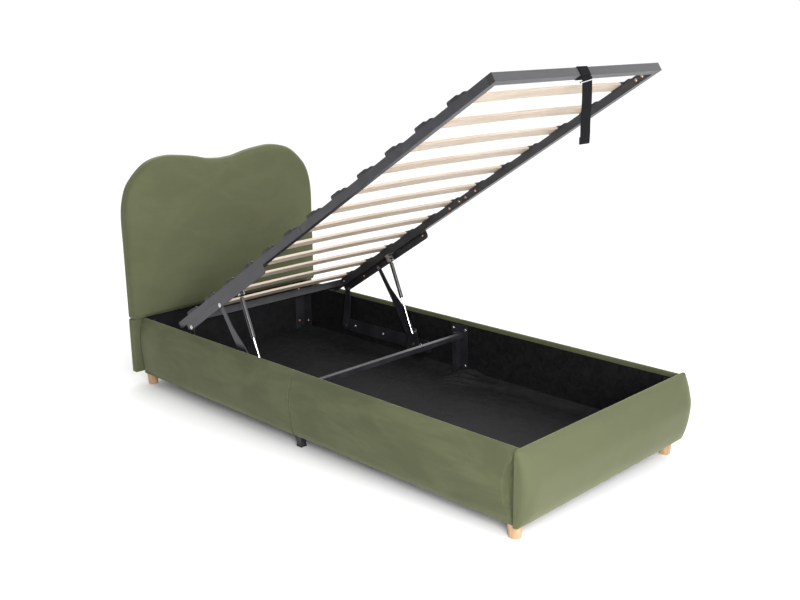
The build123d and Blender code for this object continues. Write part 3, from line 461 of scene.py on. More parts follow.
def rounding(distance, radius):
    """How far a rounded edge has drawn in at a distance from its end."""
    if distance >= radius:
        return 0.0
    share = 1 - distance / radius
    return radius * (1 - math.sqrt(1 - share * share))


def ripple(x, y, z, size, depth):
    """A smooth, repeatable unevenness of a surface, in metres."""
    return depth * noise.noise(Vector((x / size, y / size, z / size)))


print("tools for meshes are ready")

# %% [markdown]
# The side rails are padded boards in two halves a side. Their outside swells to 46 mm a little
# above the middle and tucks under at the bottom. At the joint between the halves, and where a
# rail meets the headboard or footboard, the cover is pulled in over its edge, so each end rounds
# off into a groove. Beside the footboard it is pulled in furthest halfway up, as far as the
# board inside allows, which leaves a hollow shaped like a lens. A slight unevenness keeps the
# long face from looking machined.

# %% Side rails
foot_end = -1.0345
head_end = 1.0615
seam = 0.0135
half_clear = 0.455
rail_top = 0.308
rail_bottom = 0.055
rail_swell_at = ((foot_end, 0.039), (foot_end + 0.09, 0.044), (seam - 0.3, 0.046), (seam, 0.045),
                 (seam + 0.3, 0.046), (head_end - 0.4, 0.045), (head_end - 0.11, 0.039),
                 (head_end, 0.028))


rail_end_rings = [0.0, 0.0006, 0.002, 0.004, 0.007, 0.010, 0.014, 0.020, 0.026]
rail_end_run = 0.032
rail_ring_gap = 0.022
hollow_rings = [0.029, 0.032, 0.035, 0.038, 0.041, 0.044, 0.047, 0.050]
hollow_depth = 0.026
hollow_height = 0.180
hollow_half_height = 0.120
hollow_edge = 0.007
board_cover = 0.0155


def swell_at(y):
    places, swells = zip(*rail_swell_at)
    return float(np.interp(y, places, swells))


def end_hollow(step, z, width):
    """How far the cover is pulled in at a step from the footboard, most halfway up."""
    bow = max(0.0, 1 - ((z - hollow_height) / hollow_half_height) ** 2)
    inside = min(1.0, max(0.0, (width * bow ** 0.7 - step) / hollow_edge))
    return hollow_depth * bow ** 0.5 * inside * inside * (3 - 2 * inside)


def rail_outline(swell, drawn_in, step, width):
    """A rail's section as (distance from the inner face, height), at a step from its foot end."""
    outer = curve_through([
        (0.0015, rail_top - 0.002 - drawn_in * 0.25),
        (0.0045, rail_top - drawn_in * 0.30),
        (0.0100, rail_top - 0.0012 - drawn_in * 0.35),
        (0.55 * swell, rail_top - 0.024),
        (0.80 * swell, rail_top - 0.051),
        (0.95 * swell, rail_top - 0.080),
        (swell, rail_top - 0.105),
        (0.985 * swell, rail_top - 0.132),
        (0.93 * swell, rail_top - 0.159),
        (0.76 * swell, rail_bottom + 0.036),
        (0.60 * swell, rail_bottom + 0.014),
        (0.020, rail_bottom + 0.001),
        (0.012, rail_bottom),
    ], 4)
    drawn = []
    for distance, z in outer:
        share = min(1.0, distance / (0.5 * swell))
        pulled_in = drawn_in + (end_hollow(step, z, width) if width else 0.0)
        drawn.append((max(distance - pulled_in * share, min(distance, board_cover)), z))
    return [(0.0, rail_bottom)] + [(0.0, z) for z in (0.12, 0.2, 0.28, rail_top - 0.006)] + drawn


def rail_rings(side, y_from, y_to, round_from, round_to, hollow_width):
    """The rings of half a rail, closer together near its ends."""
    length = y_to - y_from
    middle = list(np.linspace(rail_end_run, length - rail_end_run, int(length / rail_ring_gap)))
    ends = rail_end_rings + [length - d for d in rail_end_rings]
    steps = sorted(ends + middle + (hollow_rings if hollow_width else []))
    rings = []
    for step in steps:
        y = y_from + step
        drawn_in = rounding(step, round_from) + rounding(length - step, round_to)
        ring = []
        for offset, z in rail_outline(swell_at(y), drawn_in, step, hollow_width):
            share = min(1.0, max(0.0, (offset - 0.008) / 0.02))
            slow = ripple(side * 3.0, y, z, 0.16, 0.0016)
            quick = ripple(side * 7.0, y, z, 0.045, 0.0005)
            near_end = min(step, length - step)
            tight = math.exp(-((near_end - 0.03) / 0.025) ** 2)
            pulled = ripple(side * 5.0, y * 0.4, z, 0.022, 0.0009) * tight
            x = side * (half_clear + max(0.0, offset + share * (slow + quick + pulled)))
            ring.append((x, y, z))
        rings.append(ring)
    return rings


rail_halves = {
    "foot": (foot_end + 0.0004, seam - 0.0008, 0.006, 0.006, 0.040),
    "head": (seam + 0.0008, head_end - 0.0004, 0.006, 0.012, 0.0),
}
for side, side_word in ((-1, "left"), (1, "right")):
    for half, (y_from, y_to, round_from, round_to, hollow_width) in rail_halves.items():
        points, faces = skin(rail_rings(side, y_from, y_to, round_from, round_to, hollow_width))
        cover = piece(f"rail_cover_{side_word}_{half}", points, faces, velvet_side, "base", 50)
        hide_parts(f"side_rail_{side_word}_{half}")
        print(cover.name, len(cover.data.vertices), "points")

# %% [markdown]
# The footboard has a fat D-shaped section, fullest a little above its middle. Its ends are
# rounded in plan, and the cover is stitched there to a flat end that lies back from the face,
# which leaves a soft vertical edge and a shadow between footboard and rail.

# %% Footboard
footboard_top = 0.311
footboard_bottom = 0.052
footboard_half = 0.488
footboard_swell = 0.058
footboard_end_swell = 0.030
footboard_end_round = 0.060


def footboard_outline(swell, drawn_in):
    """The footboard's section as (distance in front of its back, height)."""
    front = curve_through([
        (0.001, footboard_top - 0.001 - 0.4 * drawn_in),
        (0.007, footboard_top - 0.5 * drawn_in),
        (0.013, footboard_top - 0.003 - 0.5 * drawn_in),
        (0.40 * swell, footboard_top - 0.012),
        (0.60 * swell, rail_top - 0.029),
        (0.85 * swell, rail_top - 0.066),
        (swell, rail_top - 0.106),
        (0.93 * swell, rail_top - 0.151),
        (0.75 * swell, rail_bottom + 0.052),
        (0.48 * swell, footboard_bottom + 0.018 + 0.2 * drawn_in),
        (0.014, footboard_bottom + 0.003 + 0.5 * drawn_in),
        (0.006, footboard_bottom + 0.001 + 0.5 * drawn_in),
    ], 5)
    drawn = []
    for distance, z in front:
        share = min(1.0, distance / (0.4 * swell))
        drawn.append((max(distance - 0.8 * drawn_in * share, 0.001), z))
    back = [(0.0, footboard_bottom + 0.001 + 0.5 * drawn_in)]
    back += [(0.0, z) for z in (0.10, 0.18, 0.26, footboard_top - 0.006)]
    return back + drawn


footboard_steps = [0.0, 0.0005, 0.0015, 0.003, 0.005, 0.008,
                   0.012, 0.018, 0.026, 0.036, 0.048, 0.06]
footboard_rings = []
across = [-footboard_half + s for s in footboard_steps]
across += list(np.linspace(-0.40, 0.40, 37))
across += [footboard_half - s for s in reversed(footboard_steps)]
for x in across:
    from_end = footboard_half - abs(x)
    turn = math.sqrt(max(0.0, 1 - (1 - min(1.0, from_end / footboard_end_round)) ** 2))
    swell = footboard_end_swell + (footboard_swell - footboard_end_swell) * turn
    drawn_in = rounding(from_end, 0.010)
    ring = []
    for distance, z in footboard_outline(swell, drawn_in):
        share = min(1.0, max(0.0, (distance - 0.01) / 0.02))
        uneven = ripple(x, 4.0, z, 0.17, 0.0016) + ripple(x, 8.0, z, 0.05, 0.0005)
        ring.append((x, foot_end - max(0.0, distance + share * uneven), z))
    footboard_rings.append(ring)
points, faces = skin(footboard_rings)
footboard = piece("footboard_cover", points, faces, velvet_front, "base", 50)
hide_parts("footboard")
print(footboard.name, len(footboard.data.vertices), "points")

# %% [markdown]
# The headboard is one thick pad with two crests. Its outline is drawn once, as half a curve from
# the dip to the straight side, and mirrored. The pad is then closed by shrinking that outline:
# a tight round at the back, a wide soft one at the front, and a slow crown over the face, where
# every point slides towards a short line in the middle of the pad.

# %% Headboard outline
headboard_half = 0.515
headboard_crest = (0.282, 1.000)
headboard_dip = 0.963
headboard_shoulder = 0.748
pad_bottom = 0.3083
pad_back = head_end + 0.031
pad_depth = 0.070


def headboard_outline():
    """The pad's outline as (x, z), all the way round from the bottom of the left side."""
    crest_x, crest_z = headboard_crest
    right = curve_through([
        (0.0, headboard_dip),
        (0.070, headboard_dip + 0.0055),
        (crest_x / 2, headboard_dip + 0.0215),
        (0.210, 0.9945),
        (crest_x, crest_z),
        (0.350, 0.9900),
        (headboard_half - 0.112, crest_z - 0.034),
        (0.455, 0.920),
        (headboard_half - 0.028, headboard_shoulder + 0.128),
        (0.507, 0.816),
        (headboard_half, headboard_shoulder),
        (headboard_half, 0.640),
        (headboard_half, 0.520),
        (headboard_half, 0.400),
        (headboard_half, pad_bottom + 0.012),
    ], 8)
    corner = [
        (headboard_half - 0.012 * (1 - math.cos(a)), pad_bottom + 0.012 * (1 - math.sin(a)))
        for a in np.linspace(0.2, math.pi / 2, 5)
    ]
    bottom = [(x, pad_bottom) for x in np.linspace(headboard_half - 0.04, 0.0, 24)]
    half_way = [tuple(p) for p in right] + corner + bottom
    left = [(-x, z) for x, z in reversed(half_way[1:-1])]
    return half_way + left


def inset(outline, amount):
    """The outline moved inwards by an amount, square to itself."""
    count = len(outline)
    moved = []
    for i, (x, z) in enumerate(outline):
        before, after = outline[i - 1], outline[(i + 1) % count]
        run, rise = after[0] - before[0], after[1] - before[1]
        length = math.hypot(run, rise)
        moved.append((x + amount * rise / length, z - amount * run / length))
    return moved


outline = headboard_outline()
print("headboard outline of", len(outline), "points")

# %% Headboard pad
front_round = 0.026
back_round = 0.010
crown = 0.010
spine_half = 0.26
spine_height = 0.67
pad_rings = []
for turn in np.linspace(0.0, math.pi / 2, 6):
    depth = pad_back - back_round * (1 - math.sin(turn))
    drawn_in = back_round * (1 - math.cos(turn))
    pad_rings.append([(x, depth, z) for x, z in inset(outline, drawn_in)])
pad_rings.reverse()
side_depth = pad_depth - crown - front_round
for depth in np.linspace(back_round, side_depth, 5)[1:-1]:
    pad_rings.append([(x, pad_back - depth, z) for x, z in outline])
for turn in np.linspace(0.0, math.pi / 2, 11):
    depth = pad_back - side_depth - front_round * math.sin(turn)
    drawn_in = front_round * (1 - math.cos(turn))
    pad_rings.append([(x, depth, z) for x, z in inset(outline, drawn_in)])
face_edge = inset(outline, front_round)
for share in np.linspace(0.0, 0.985, 34)[1:]:
    ring = []
    for x, z in face_edge:
        middle_x = max(-spine_half, min(spine_half, x))
        at_x = x + (middle_x - x) * share
        at_z = z + (spine_height - z) * share
        depth = pad_back - pad_depth + crown * (1 - share) ** 2.4
        uneven = ripple(at_x, 2.0, at_z, 0.21, 0.0018) + ripple(at_x, 6.0, at_z, 0.06, 0.0006)
        ring.append((at_x, depth + uneven * min(1.0, share * 4), at_z))
    pad_rings.append(ring)
points, faces = skin(pad_rings)
headboard = piece("headboard_cover", points, faces, velvet, "base", 60)
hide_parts("headboard_pad")
print(headboard.name, len(headboard.data.vertices), "points")

# %% [markdown]
# Under the pad, the headboard goes on as a thin upholstered panel that the rails are bolted to.
# Its edges are only softened by the wadding, so its section is a rounded bar, drawn in a little
# at its two ends.

# %% Lower panel of the headboard
panel_half = 0.515
panel_bottom = 0.062
panel_top = 0.3078
panel_edge = 0.008
panel_heights = (0.11, 0.16, 0.21, 0.26)
panel_steps = [0.0, 0.0008, 0.0025, 0.005, 0.008]
panel_across = [-panel_half + s for s in panel_steps] + list(np.linspace(-0.48, 0.48, 41))
panel_across += [panel_half - s for s in reversed(panel_steps)]
panel_corners = (
    (head_end + panel_edge, panel_bottom + panel_edge, math.pi),
    (head_end + panel_edge, panel_top - panel_edge, math.pi / 2),
    (pad_back - panel_edge, panel_top - panel_edge, 0.0),
    (pad_back - panel_edge, panel_bottom + panel_edge, -math.pi / 2),
)
panel_rings = []
for x in panel_across:
    drawn_in = rounding(panel_half - abs(x), panel_edge)
    ring = []
    for y, z, start in panel_corners:
        for turn in np.linspace(start + math.pi / 2, start, 6):
            reach = panel_edge - drawn_in
            slack = ripple(x, y, z, 0.07, 0.0008)
            ring.append((x, y + reach * math.cos(turn), z + reach * math.sin(turn) + slack * 0.5))
        if start == math.pi:
            ring += [(x, head_end + drawn_in, z) for z in panel_heights]
        if start == 0.0:
            slack = ripple(x, 1.0, 0.0, 0.05, 0.0008)
            ring += [(x, pad_back - drawn_in + slack, z) for z in reversed(panel_heights)]
    panel_rings.append(ring)
points, faces = skin(panel_rings)
panel = piece("headboard_panel", points, faces, velvet, "base", 50)
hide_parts("headboard_base")
print(panel.name, len(panel.data.vertices), "points")

# %% [markdown]
# The linings are single sheets of felt, so each is a fine grid whose points are pushed a little
# off its plane. A Solidify modifier gives the cloth its thickness. On the walls it is stapled
# tight and only crinkles; on the floor it lies slack, climbs the foot of the right-hand wall,
# and is pinched up beside the centre leg where it was cut.

# %% Sheets of felt
felt_thickness = 0.0008


def cloth_grid(name, corner, along_u, along_v, steps_u, steps_v, rise, finish, skip=None):
    """A sheet over a rectangle, pushed off it by rise(u, v), with any skipped faces left out."""
    corner, along_u, along_v = Vector(corner), Vector(along_u), Vector(along_v)
    lift = along_u.cross(along_v).normalized()
    shares_u = np.linspace(0.0, 1.0, steps_u + 1)
    shares_v = np.linspace(0.0, 1.0, steps_v + 1)
    points, faces = [], []
    for v in shares_v:
        for u in shares_u:
            flat = corner + along_u * u + along_v * v
            points.append(flat + lift * rise(flat.x, flat.y, flat.z))
    columns = len(shares_u)
    for row in range(len(shares_v) - 1):
        for column in range(columns - 1):
            i = row * columns + column
            middle = (points[i] + points[i + columns + 1]) / 2
            if skip is None or not skip(middle.x, middle.y):
                faces.append((i, i + 1, i + columns + 1, i + columns))
    made = piece(name, points, faces, finish, "base", 80)
    thick = made.modifiers.new("felt", "SOLIDIFY")
    thick.thickness = felt_thickness
    thick.offset = 0.0
    return made


def wall_crinkle(x, y, z):
    """How far a stapled lining stands off its wall, in metres."""
    fine = ripple(x + y, z, 0.3, 0.035, 0.0007)
    slow = ripple(x + y, z * 0.5, 0.9, 0.16, 0.0010)
    return 0.0013 + max(-0.0006, fine + slow)


lining_low = 0.060
lining_top = 0.2905
wall_height = lining_top - lining_low
head_wall_height = 0.2465
side_run = head_end - foot_end - 0.002
cross_run = 2 * half_clear - 0.004
wall_steps_up = 18
wall_places = (
    ("left", (-half_clear, foot_end + 0.001), (0, side_run), wall_height, 150),
    ("right", (half_clear, head_end - 0.001), (0, -side_run), wall_height, 150),
    ("foot", (half_clear - 0.002, foot_end), (-cross_run, 0), wall_height, 70),
    ("head", (-half_clear + 0.002, head_end), (cross_run, 0), head_wall_height, 70),
)
for word, place, run, height, steps_along in wall_places:
    wall = cloth_grid(
        f"lining_wall_{word}", (*place, lining_low), (*run, 0), (0, 0, height),
        steps_along, wall_steps_up, wall_crinkle, black_lining,
    )
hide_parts("inner_linings")

# %% Storage floor
floor_level = 0.0597
leg_middle = (0.4395, 0.018)
leg_clear = 0.0155
seam_of_floor = 0.018


def floor_rise(x, y, z):
    """How far the slack floor stands above its level, in metres."""
    slack = 0.0030 + ripple(x, y, 0.5, 0.22, 0.0034) + ripple(x * 1.4, y, 1.5, 0.055, 0.0010)
    wall_share = max(0.0, (abs(x) - 0.385) / 0.068)
    climb = 0.026 * wall_share ** 2.2 if x > 0 else 0.006 * wall_share
    off_leg = math.hypot((x - 0.415) / 0.075, (y + 0.045) / 0.060)
    pinch = 0.020 * math.exp(-off_leg ** 2) * (0.6 + 0.9 * abs(math.sin(95.0 * x + 40.0 * y)))
    tail = math.exp(-((x - 0.400 + 0.16 * (y + 0.10)) / 0.022) ** 2)
    crease = 0.010 * tail * math.exp(-((y + 0.16) / 0.09) ** 2)
    return max(0.0, slack) + climb + pinch + crease


def at_leg(x, y):
    return abs(abs(x) - leg_middle[0]) < leg_clear and abs(y - leg_middle[1]) < leg_clear


def in_corner(x, y):
    return abs(x) > 0.4505 and (y < foot_end + 0.058 or y > head_end - 0.058)


def cut_out(x, y):
    return at_leg(x, y) or in_corner(x, y)


floor_halves = (
    ("floor_sheet_foot", foot_end + 0.004, seam_of_floor - 0.0005, "floor_panel_foot"),
    ("floor_sheet_head", seam_of_floor + 0.0005, head_end - 0.004, "floor_panel_head"),
)
floor_half_width = 0.4515
for name, y_from, y_to, stands_for in floor_halves:
    run = y_to - y_from
    felt_floor = cloth_grid(
        name, (-floor_half_width, y_from, floor_level), (2 * floor_half_width, 0, 0), (0, run, 0),
        150, 170, floor_rise, black_lining, cut_out,
    )
    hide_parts(stands_for)
    print(name, len(felt_floor.data.vertices), "points")

# %% [markdown]
# The pull strap is a band of webbing. It wraps the foot-end tube once, closely, passes through a
# wire ring at the tube's front lower edge and hangs down from there. It is drawn as a ribbon
# along a line seen from the side: a rounded rectangle round the tube for the loop, and a slow
# wave for the tail. The end is folded over and sewn, so it is thicker there, with two rows of
# stitches.

# %% Ribbons
frame_corner = Vector((0.0, 0.7848, 0.306))
down_frame = Vector((0.0, -tilt_cos, tilt_sin))
off_frame = Vector((0.0, tilt_sin, tilt_cos))
webbing_edge = 0.0006


def on_frame(x, u, n):
    """A point of the raised slatted frame: across, down it from its head end, and above it."""
    return Vector((x, 0, 0)) + frame_corner + down_frame * u + off_frame * n


def rounded_box(half_a, half_b, corner, steps):
    """A rectangle with round corners about (0, 0), with a number of points on each corner."""
    line = []
    for sign_a, sign_b, start in ((1, 1, 0.0), (-1, 1, 90.0), (-1, -1, 180.0), (1, -1, 270.0)):
        for turn in np.linspace(start, start + 90.0, steps):
            a = sign_a * (half_a - corner) + corner * math.cos(math.radians(turn))
            b = sign_b * (half_b - corner) + corner * math.sin(math.radians(turn))
            line.append((a, b))
    return line


def ribbon(name, line, middle_x, width, thickness, finish, body, closed=False, sway=None):
    """A flat band along a line in the side view, with soft edges."""
    count = len(line)
    rings = []
    for i, point in enumerate(line):
        before = line[i - 1] if closed or i else line[i]
        after = line[(i + 1) % count] if closed or i + 1 < count else line[i]
        ahead = (after - before).normalized()
        out = Vector((0, -ahead.z, ahead.y))
        side = sway(i / count) if sway else 0.0
        edge, flat = width / 2, width / 2 - webbing_edge
        section = (
            (-flat, 1), (flat, 1), (edge, 0.3), (edge, -0.3),
            (flat, -1), (-flat, -1), (-edge, -0.3), (-edge, 0.3),
        )
        rings.append([
            point + Vector((middle_x + side + across, 0, 0)) + out * (thickness / 2 * share)
            for across, share in section
        ])
    points, faces = skin(rings, closed)
    return piece(name, points, faces, finish, body, 50)


# %% Strap round the tube
tube_middle_u = 2.000 - 0.0125
tube_middle_n = 0.015
tube_middle = on_frame(0.0, tube_middle_u, tube_middle_n)
strap_middle = -0.003
strap_wide = 0.052
strap_thick = 0.0024
strap_gap = 0.0004
loop_half_u = 0.0125 + strap_gap + strap_thick / 2
loop_half_n = 0.0150 + strap_gap + strap_thick / 2
loop_round = 0.0035
loop_line = [
    on_frame(0.0, tube_middle_u + u, tube_middle_n + n)
    for u, n in rounded_box(loop_half_u, loop_half_n, loop_round, 6)
]
loop = ribbon("strap_loop", loop_line, strap_middle, strap_wide, strap_thick, black_webbing,
              "lift_frame", closed=True)
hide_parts("strap_webbing")
print(loop.name, "round a tube at", [round(v, 3) for v in tube_middle])

# %% Hanging tail, its hem and its stitches
tail_top = 0.0095
tail_length = 0.218
hem_top = 0.196
tail_middle = 0.001
tail_face = tube_middle.y - 0.0213
tail_points = [
    (tail_face + 0.0010, tube_middle.z - tail_top),
    (tail_face, tube_middle.z - 0.030),
    (tail_face - 0.0008, tube_middle.z - 0.085),
    (tail_face + 0.0010, tube_middle.z - 0.140),
    (tail_face - 0.0004, tube_middle.z - 0.190),
    (tail_face, tube_middle.z - tail_length),
]
tail_line = [Vector((0, p[0], p[1])) for p in curve_through([(y, z) for y, z in tail_points], 10)]
tail = ribbon("strap_tail", tail_line, tail_middle, strap_wide, strap_thick, black_webbing,
              "pull_strap", sway=lambda share: 0.0022 * math.sin(5.0 * share) * share)
hem_line = [
    Vector((0, tail_face + 0.0026, tube_middle.z - z))
    for z in np.linspace(hem_top, tail_length, 8)
]
hem = ribbon("strap_hem", hem_line, tail_middle - 0.0021, strap_wide - 0.001, 0.0022,
             black_webbing, "pull_strap")


def thread_bar(points, faces, start, end, radius):
    """Adds one stitch, a little hexagonal bar, to a mesh in the making."""
    ahead = (end - start).normalized()
    side = ahead.cross(Vector((0, 1, 0))).normalized()
    other = ahead.cross(side)
    base = len(points)
    for place, size in ((start, 0.5), (start.lerp(end, 0.5), 1.0), (end, 0.5)):
        for turn in range(6):
            a = turn * math.pi / 3
            points.append(place + (side * math.cos(a) + other * math.sin(a)) * radius * size)
    faces.extend(ring_faces(6, 3, base))


stitch_gap = 0.0036
stitch_length = 0.0025
stitch_radius = 0.0004
stitch_points, stitch_faces = [], []
for row_z in (tail_length - 0.018, tail_length - 0.004):
    for face_y in (tail_face - 0.0014, tail_face + 0.0040):
        for x in np.arange(tail_middle - 0.026, tail_middle + 0.020, stitch_gap):
            start = Vector((x, face_y, tube_middle.z - row_z))
            end = start + Vector((stitch_length, 0, 0))
            thread_bar(stitch_points, stitch_faces, start, end, stitch_radius)
stitches = piece("strap_stitches", stitch_points, stitch_faces, black_plastic, "pull_strap")
print(tail.name, hem.name, stitches.name, len(stitch_points) // 18, "stitches")

# %% [markdown]
# The ring is one bent wire. A circle is swept along a closed rounded rectangle, as a loop of
# rings whose ends are joined, so it has no visible start.

# %% Wire ring
ring_level = tube_middle.z - 0.0190
ring_middle = -0.003
ring_sag = 0.010
ring_half_x = 0.0310
ring_half_y = 0.0042
ring_corner = 0.004
wire_radius = 0.0015
wire_turns = [turn * math.pi / 5 for turn in range(10)]
upward = Vector((0, 0, 1))
ring_line = []
for aside, forward in rounded_box(ring_half_x, ring_half_y, ring_corner, 7):
    sag = ring_sag * max(0.0, -aside / ring_half_x) ** 2
    ring_line.append(Vector((ring_middle + aside, tail_face + forward, ring_level - sag)))
wire_rings = []
for i, point in enumerate(ring_line):
    ahead = (ring_line[(i + 1) % len(ring_line)] - ring_line[i - 1]).normalized()
    out = ahead.cross(upward).normalized()
    wire_rings.append(
        [point + (out * math.cos(a) + upward * math.sin(a)) * wire_radius for a in wire_turns]
    )
points, faces = skin(wire_rings, joined=True)
wire_ring = piece("strap_wire_ring", points, faces, chrome, "pull_strap")
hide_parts("strap_ring")
print(wire_ring.name, "at height", round(ring_level, 3))

# %% [markdown]
# Fasteners are small, but they sparkle, so they are worth a real shape: a domed head with a
# hexagon socket. One head is drawn as rings round an axis, and copied to every place where the
# model has a bolt, as one mesh for each set.

# %% Bolt heads
bolt_profile = ((1.0, 0.0), (1.0, 0.25), (0.90, 0.62), (0.70, 0.90), (0.56, 1.0))


def bolt_head(points, faces, middle, axis, radius, height):
    """Adds a socket-headed bolt's head to a mesh in the making."""
    axis = Vector(axis)
    side = axis.orthogonal().normalized()
    other = axis.cross(side)
    base = len(points)
    around = 24
    rows = [(reach * radius, up * height, False) for reach, up in bolt_profile]
    rows += [(0.50 * radius, height, True), (0.48 * radius, 0.35 * height, True)]
    for reach, up, hexagonal in rows:
        for i in range(around):
            a = i * 2 * math.pi / around
            fold = (a % (math.pi / 3)) - math.pi / 6
            r = reach * math.cos(math.pi / 6) / math.cos(fold) if hexagonal else reach
            points.append(middle + (side * math.cos(a) + other * math.sin(a)) * r + axis * up)
    faces.extend(ring_faces(around, len(rows), base))
    last = base + (len(rows) - 1) * around
    faces.append(tuple(range(last, last + around)))
    faces.append(tuple(reversed(range(base, base + around))))


base_bolt_radius = 0.007
base_bolt_height = 0.004
plate_face = half_clear - 0.003
foot_plate_face = foot_end + 0.003
head_plate_face = head_end - 0.004
bolt_heights = (0.105, 0.266)
bolt_inset = 0.034
bar_height = 0.145
bar_bolts_from_head = (0.383, 0.574, 0.816, 0.850)
rail_bolt_rows = (foot_end + bolt_inset, seam - bolt_inset, seam + bolt_inset,
                  head_end - bolt_inset)
bolt_points, bolt_faces = [], []
zinc_points, zinc_faces = [], []
for side in (-1, 1):
    inward = (-side, 0, 0)
    for z in bolt_heights:
        for y in rail_bolt_rows:
            at_seam = abs(y - seam) < 2 * bolt_inset
            points, faces = (zinc_points, zinc_faces) if at_seam else (bolt_points, bolt_faces)
            bolt_head(points, faces, Vector((side * plate_face, y, z)), inward,
                      base_bolt_radius, base_bolt_height)
        for y, facing in ((foot_plate_face, 1), (head_plate_face, -1)):
            bolt_head(bolt_points, bolt_faces, Vector((side * (half_clear - bolt_inset), y, z)),
                      (0, facing, 0), base_bolt_radius, base_bolt_height)
    for from_head in bar_bolts_from_head:
        place = Vector((side * plate_face, head_end - from_head, bar_height))
        bolt_head(zinc_points, zinc_faces, place, inward, base_bolt_radius, base_bolt_height)
base_heads = piece("base_bolt_heads", bolt_points, bolt_faces, copper, "base", 30)
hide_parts("base_bolts")
bar_heads = piece("bar_bolt_heads", zinc_points, zinc_faces, zinc, "base", 30)
print(base_heads.name, len(base_heads.data.polygons), "faces")

# %% Bolt heads of the slatted frame
tube_inner = 0.419
angle_inner = 0.441
frame_bolt_radius = 0.006
frame_bolt_height = 0.004
frame_bolt_places = (0.887, 0.950, 0.991, 1.052, 0.090, 1.910, 1.938)
upper_rail_bolts = ((0.211, -0.014), (0.659, -0.011))
bolt_points, bolt_faces = [], []
for side in (-1, 1):
    inward = (-side, 0, 0)
    places = [on_frame(side * tube_inner, u, tube_middle_n) for u in frame_bolt_places]
    places += [on_frame(side * angle_inner, u, n) for u, n in upper_rail_bolts]
    for place in places:
        bolt_head(bolt_points, bolt_faces, place, inward, frame_bolt_radius, frame_bolt_height)
frame_heads = piece("frame_bolt_heads", bolt_points, bolt_faces, copper, "lift_frame", 30)
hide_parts("frame_bolts")
print(frame_heads.name, len(frame_heads.data.polygons), "faces")

# %% [markdown]
# The slat holders are moulded caps: a rounded pocket that takes the end of a slat, and a tongue
# that is screwed to the tube. Each pocket is a skin over sections that run across the bed, with
# rounded shoulders and a closed outer end. The tongue is a second, lower skin.

# %% Slat holders
slat_first = 0.110
slat_pitch = 0.1564
pocket_half = 0.0256
pocket_top = 0.0436
pocket_floor = 0.0300
frame_half = 0.444
holder_inner = 0.417
holder_wall = 0.0022
tongue_widening = 0.82
tongue_sections = (
    (0.0, 0.0105, 0.0380), (0.022, 0.0105, 0.0380), (0.027, 0.0095, 0.0376),
    (0.0295, 0.0070, 0.0368), (0.030, 0.0060, 0.0360),
)


def arch(half, low, top, round_by, steps=5):
    """Half a slot: a flat bottom, straight sides and two rounded shoulders, as (u, n) pairs."""
    shoulders = []
    for middle, start in ((half - round_by, 0.0), (-half + round_by, 90.0)):
        for turn in np.linspace(start, start + 90.0, steps):
            a = math.radians(turn)
            n = top - round_by + round_by * math.sin(a)
            shoulders.append((middle + round_by * math.cos(a), n))
    return [(half, low)] + shoulders + [(-half, low)]


def holder(points, faces, side, u_middle):
    """Adds one holder: the outer shell, its mouth for the slat, and the tongue."""
    outer = arch(pocket_half, pocket_floor, pocket_top, 0.006)
    inner = arch(pocket_half - holder_wall, pocket_floor + 0.0013, pocket_top - 0.0020, 0.0045)
    end_small = arch(pocket_half - 0.003, pocket_floor, pocket_top - 0.0025, 0.005)
    end_edge = arch(pocket_half - 0.001, pocket_floor, pocket_top - 0.0008, 0.006)
    mouth_edge = arch(pocket_half - 0.0006, pocket_floor, pocket_top - 0.0006, 0.0055)
    rows = (
        (frame_half, end_small), (frame_half - 0.0008, end_edge), (frame_half - 0.003, outer),
        (holder_inner + 0.001, outer), (holder_inner, mouth_edge), (holder_inner, inner),
        (frame_half - 0.0040, inner),
    )
    base, count = len(points), len(outer)
    for across, section in rows:
        for u, n in section:
            points.append(on_frame(side * across, u_middle + u, n))
    faces.extend(ring_faces(count, len(rows), base))
    faces.append(tuple(range(base, base + count)))
    last = base + (len(rows) - 1) * count
    faces.append(tuple(range(last, last + count)))
    tongue_rows = []
    tongue_middle = (holder_inner + frame_half) / 2 + 0.004
    for along, half, top in tongue_sections:
        u = u_middle + pocket_half - 0.001 + along
        tongue_rows.append([
            on_frame(side * (tongue_middle + place * tongue_widening), u, n)
            for place, n in arch(half, pocket_floor, top, 0.0025, 4)
        ])
    tongue_points, tongue_faces = skin(tongue_rows)
    base = len(points)
    points.extend(tongue_points)
    faces.extend(tuple(base + i for i in face) for face in tongue_faces)


holder_points, holder_faces = [], []
for side in (-1, 1):
    for number in range(12):
        holder(holder_points, holder_faces, side, slat_first + number * slat_pitch)
holders = piece("slat_caps", holder_points, holder_faces, black_plastic, "lift_frame", 40)
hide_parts("slat_holders")
print(holders.name, len(holders.data.polygons), "faces")

# %% [markdown]
# The studio is a pale floor that runs out of sight, a sky that looks white and lights the bed
# less from the left, and large soft lamps. A lamp low at the near corner makes the footboard the
# brightest green and lets the long rail fade towards the headboard, as in the photograph.

# %% Floor, sky and lamps
floor_mesh = bpy.data.meshes.new("studio_floor")
reach = 14.0
corners = [(-reach, -reach, 0), (reach, -reach, 0), (reach, reach, 0), (-reach, reach, 0)]
floor_mesh.from_pydata(corners, [], [(0, 1, 2, 3)])
studio_floor = bpy.data.objects.new("studio_floor", floor_mesh)
bpy.context.scene.collection.objects.link(studio_floor)
floor_paint = Paint("studio_floor", roughness=0.9, base_color=(0.97, 0.97, 0.97, 1))
floor_mesh.materials.append(floor_paint.material)

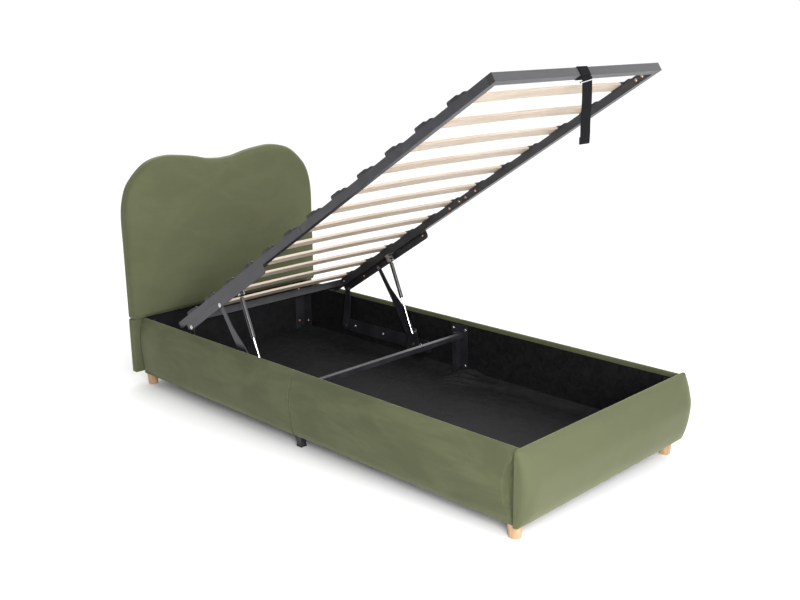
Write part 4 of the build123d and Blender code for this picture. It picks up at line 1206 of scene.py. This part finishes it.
sky_brightest = 1.90
sky_darkest = 0.25
sky_as_seen = 1.05
world = bpy.data.worlds.new("studio")
world.use_nodes = True
sky = world.node_tree
sky_place = sky.nodes.new("ShaderNodeTexCoord")
sky_side = sky.nodes.new("ShaderNodeVectorMath")
sky_side.operation = "DOT_PRODUCT"
sky_side.inputs[1].default_value = (-1.0, 0.0, 0.0)
sky.links.new(sky_place.outputs["Generated"], sky_side.inputs[0])
sky_level = sky.nodes.new("ShaderNodeMapRange")
sky_levels = {"From Min": -1.0, "From Max": 1.0, "To Min": sky_brightest, "To Max": sky_darkest}
for socket, level in sky_levels.items():
    sky_level.inputs[socket].default_value = level
sky.links.new(sky_side.outputs["Value"], sky_level.inputs["Value"])
sky_rays = sky.nodes.new("ShaderNodeLightPath")
sky_seen = sky.nodes.new("ShaderNodeMix")
sky_seen.inputs[3].default_value = sky_as_seen
sky.links.new(sky_rays.outputs["Is Camera Ray"], sky_seen.inputs[0])
sky.links.new(sky_level.outputs["Result"], sky_seen.inputs[2])
sky.links.new(sky_seen.outputs[0], sky.nodes["Background"].inputs["Strength"])
sky.nodes["Background"].inputs["Color"].default_value = (1.0, 1.0, 1.0, 1)
bpy.context.scene.world = world
bpy.context.scene.view_settings.view_transform = "Standard"


def soft_lamp(name, place, aim, size, watts):
    data = bpy.data.lights.new(name, "AREA")
    data.shape = "RECTANGLE"
    data.size, data.size_y = size
    data.energy = watts
    lamp = bpy.data.objects.new(name, data)
    bpy.context.scene.collection.objects.link(lamp)
    lamp.location = place
    lamp.rotation_euler = (Vector(aim) - Vector(place)).to_track_quat("-Z", "Y").to_euler()
    return lamp


lamps = [
    soft_lamp("key_lamp", (0.8, -4.6, 3.2), (0, 0, 0.4), (2.6, 2.0), 40),
    soft_lamp("corner_lamp", (-1.9, -2.7, 1.3), (-0.3, -0.6, 0.25), (1.1, 1.1), 95),
    soft_lamp("top_lamp", (0.0, 0.0, 4.5), (0, 0, 0), (4.0, 4.0), 60),
]
print("lamps", [lamp.name for lamp in lamps])
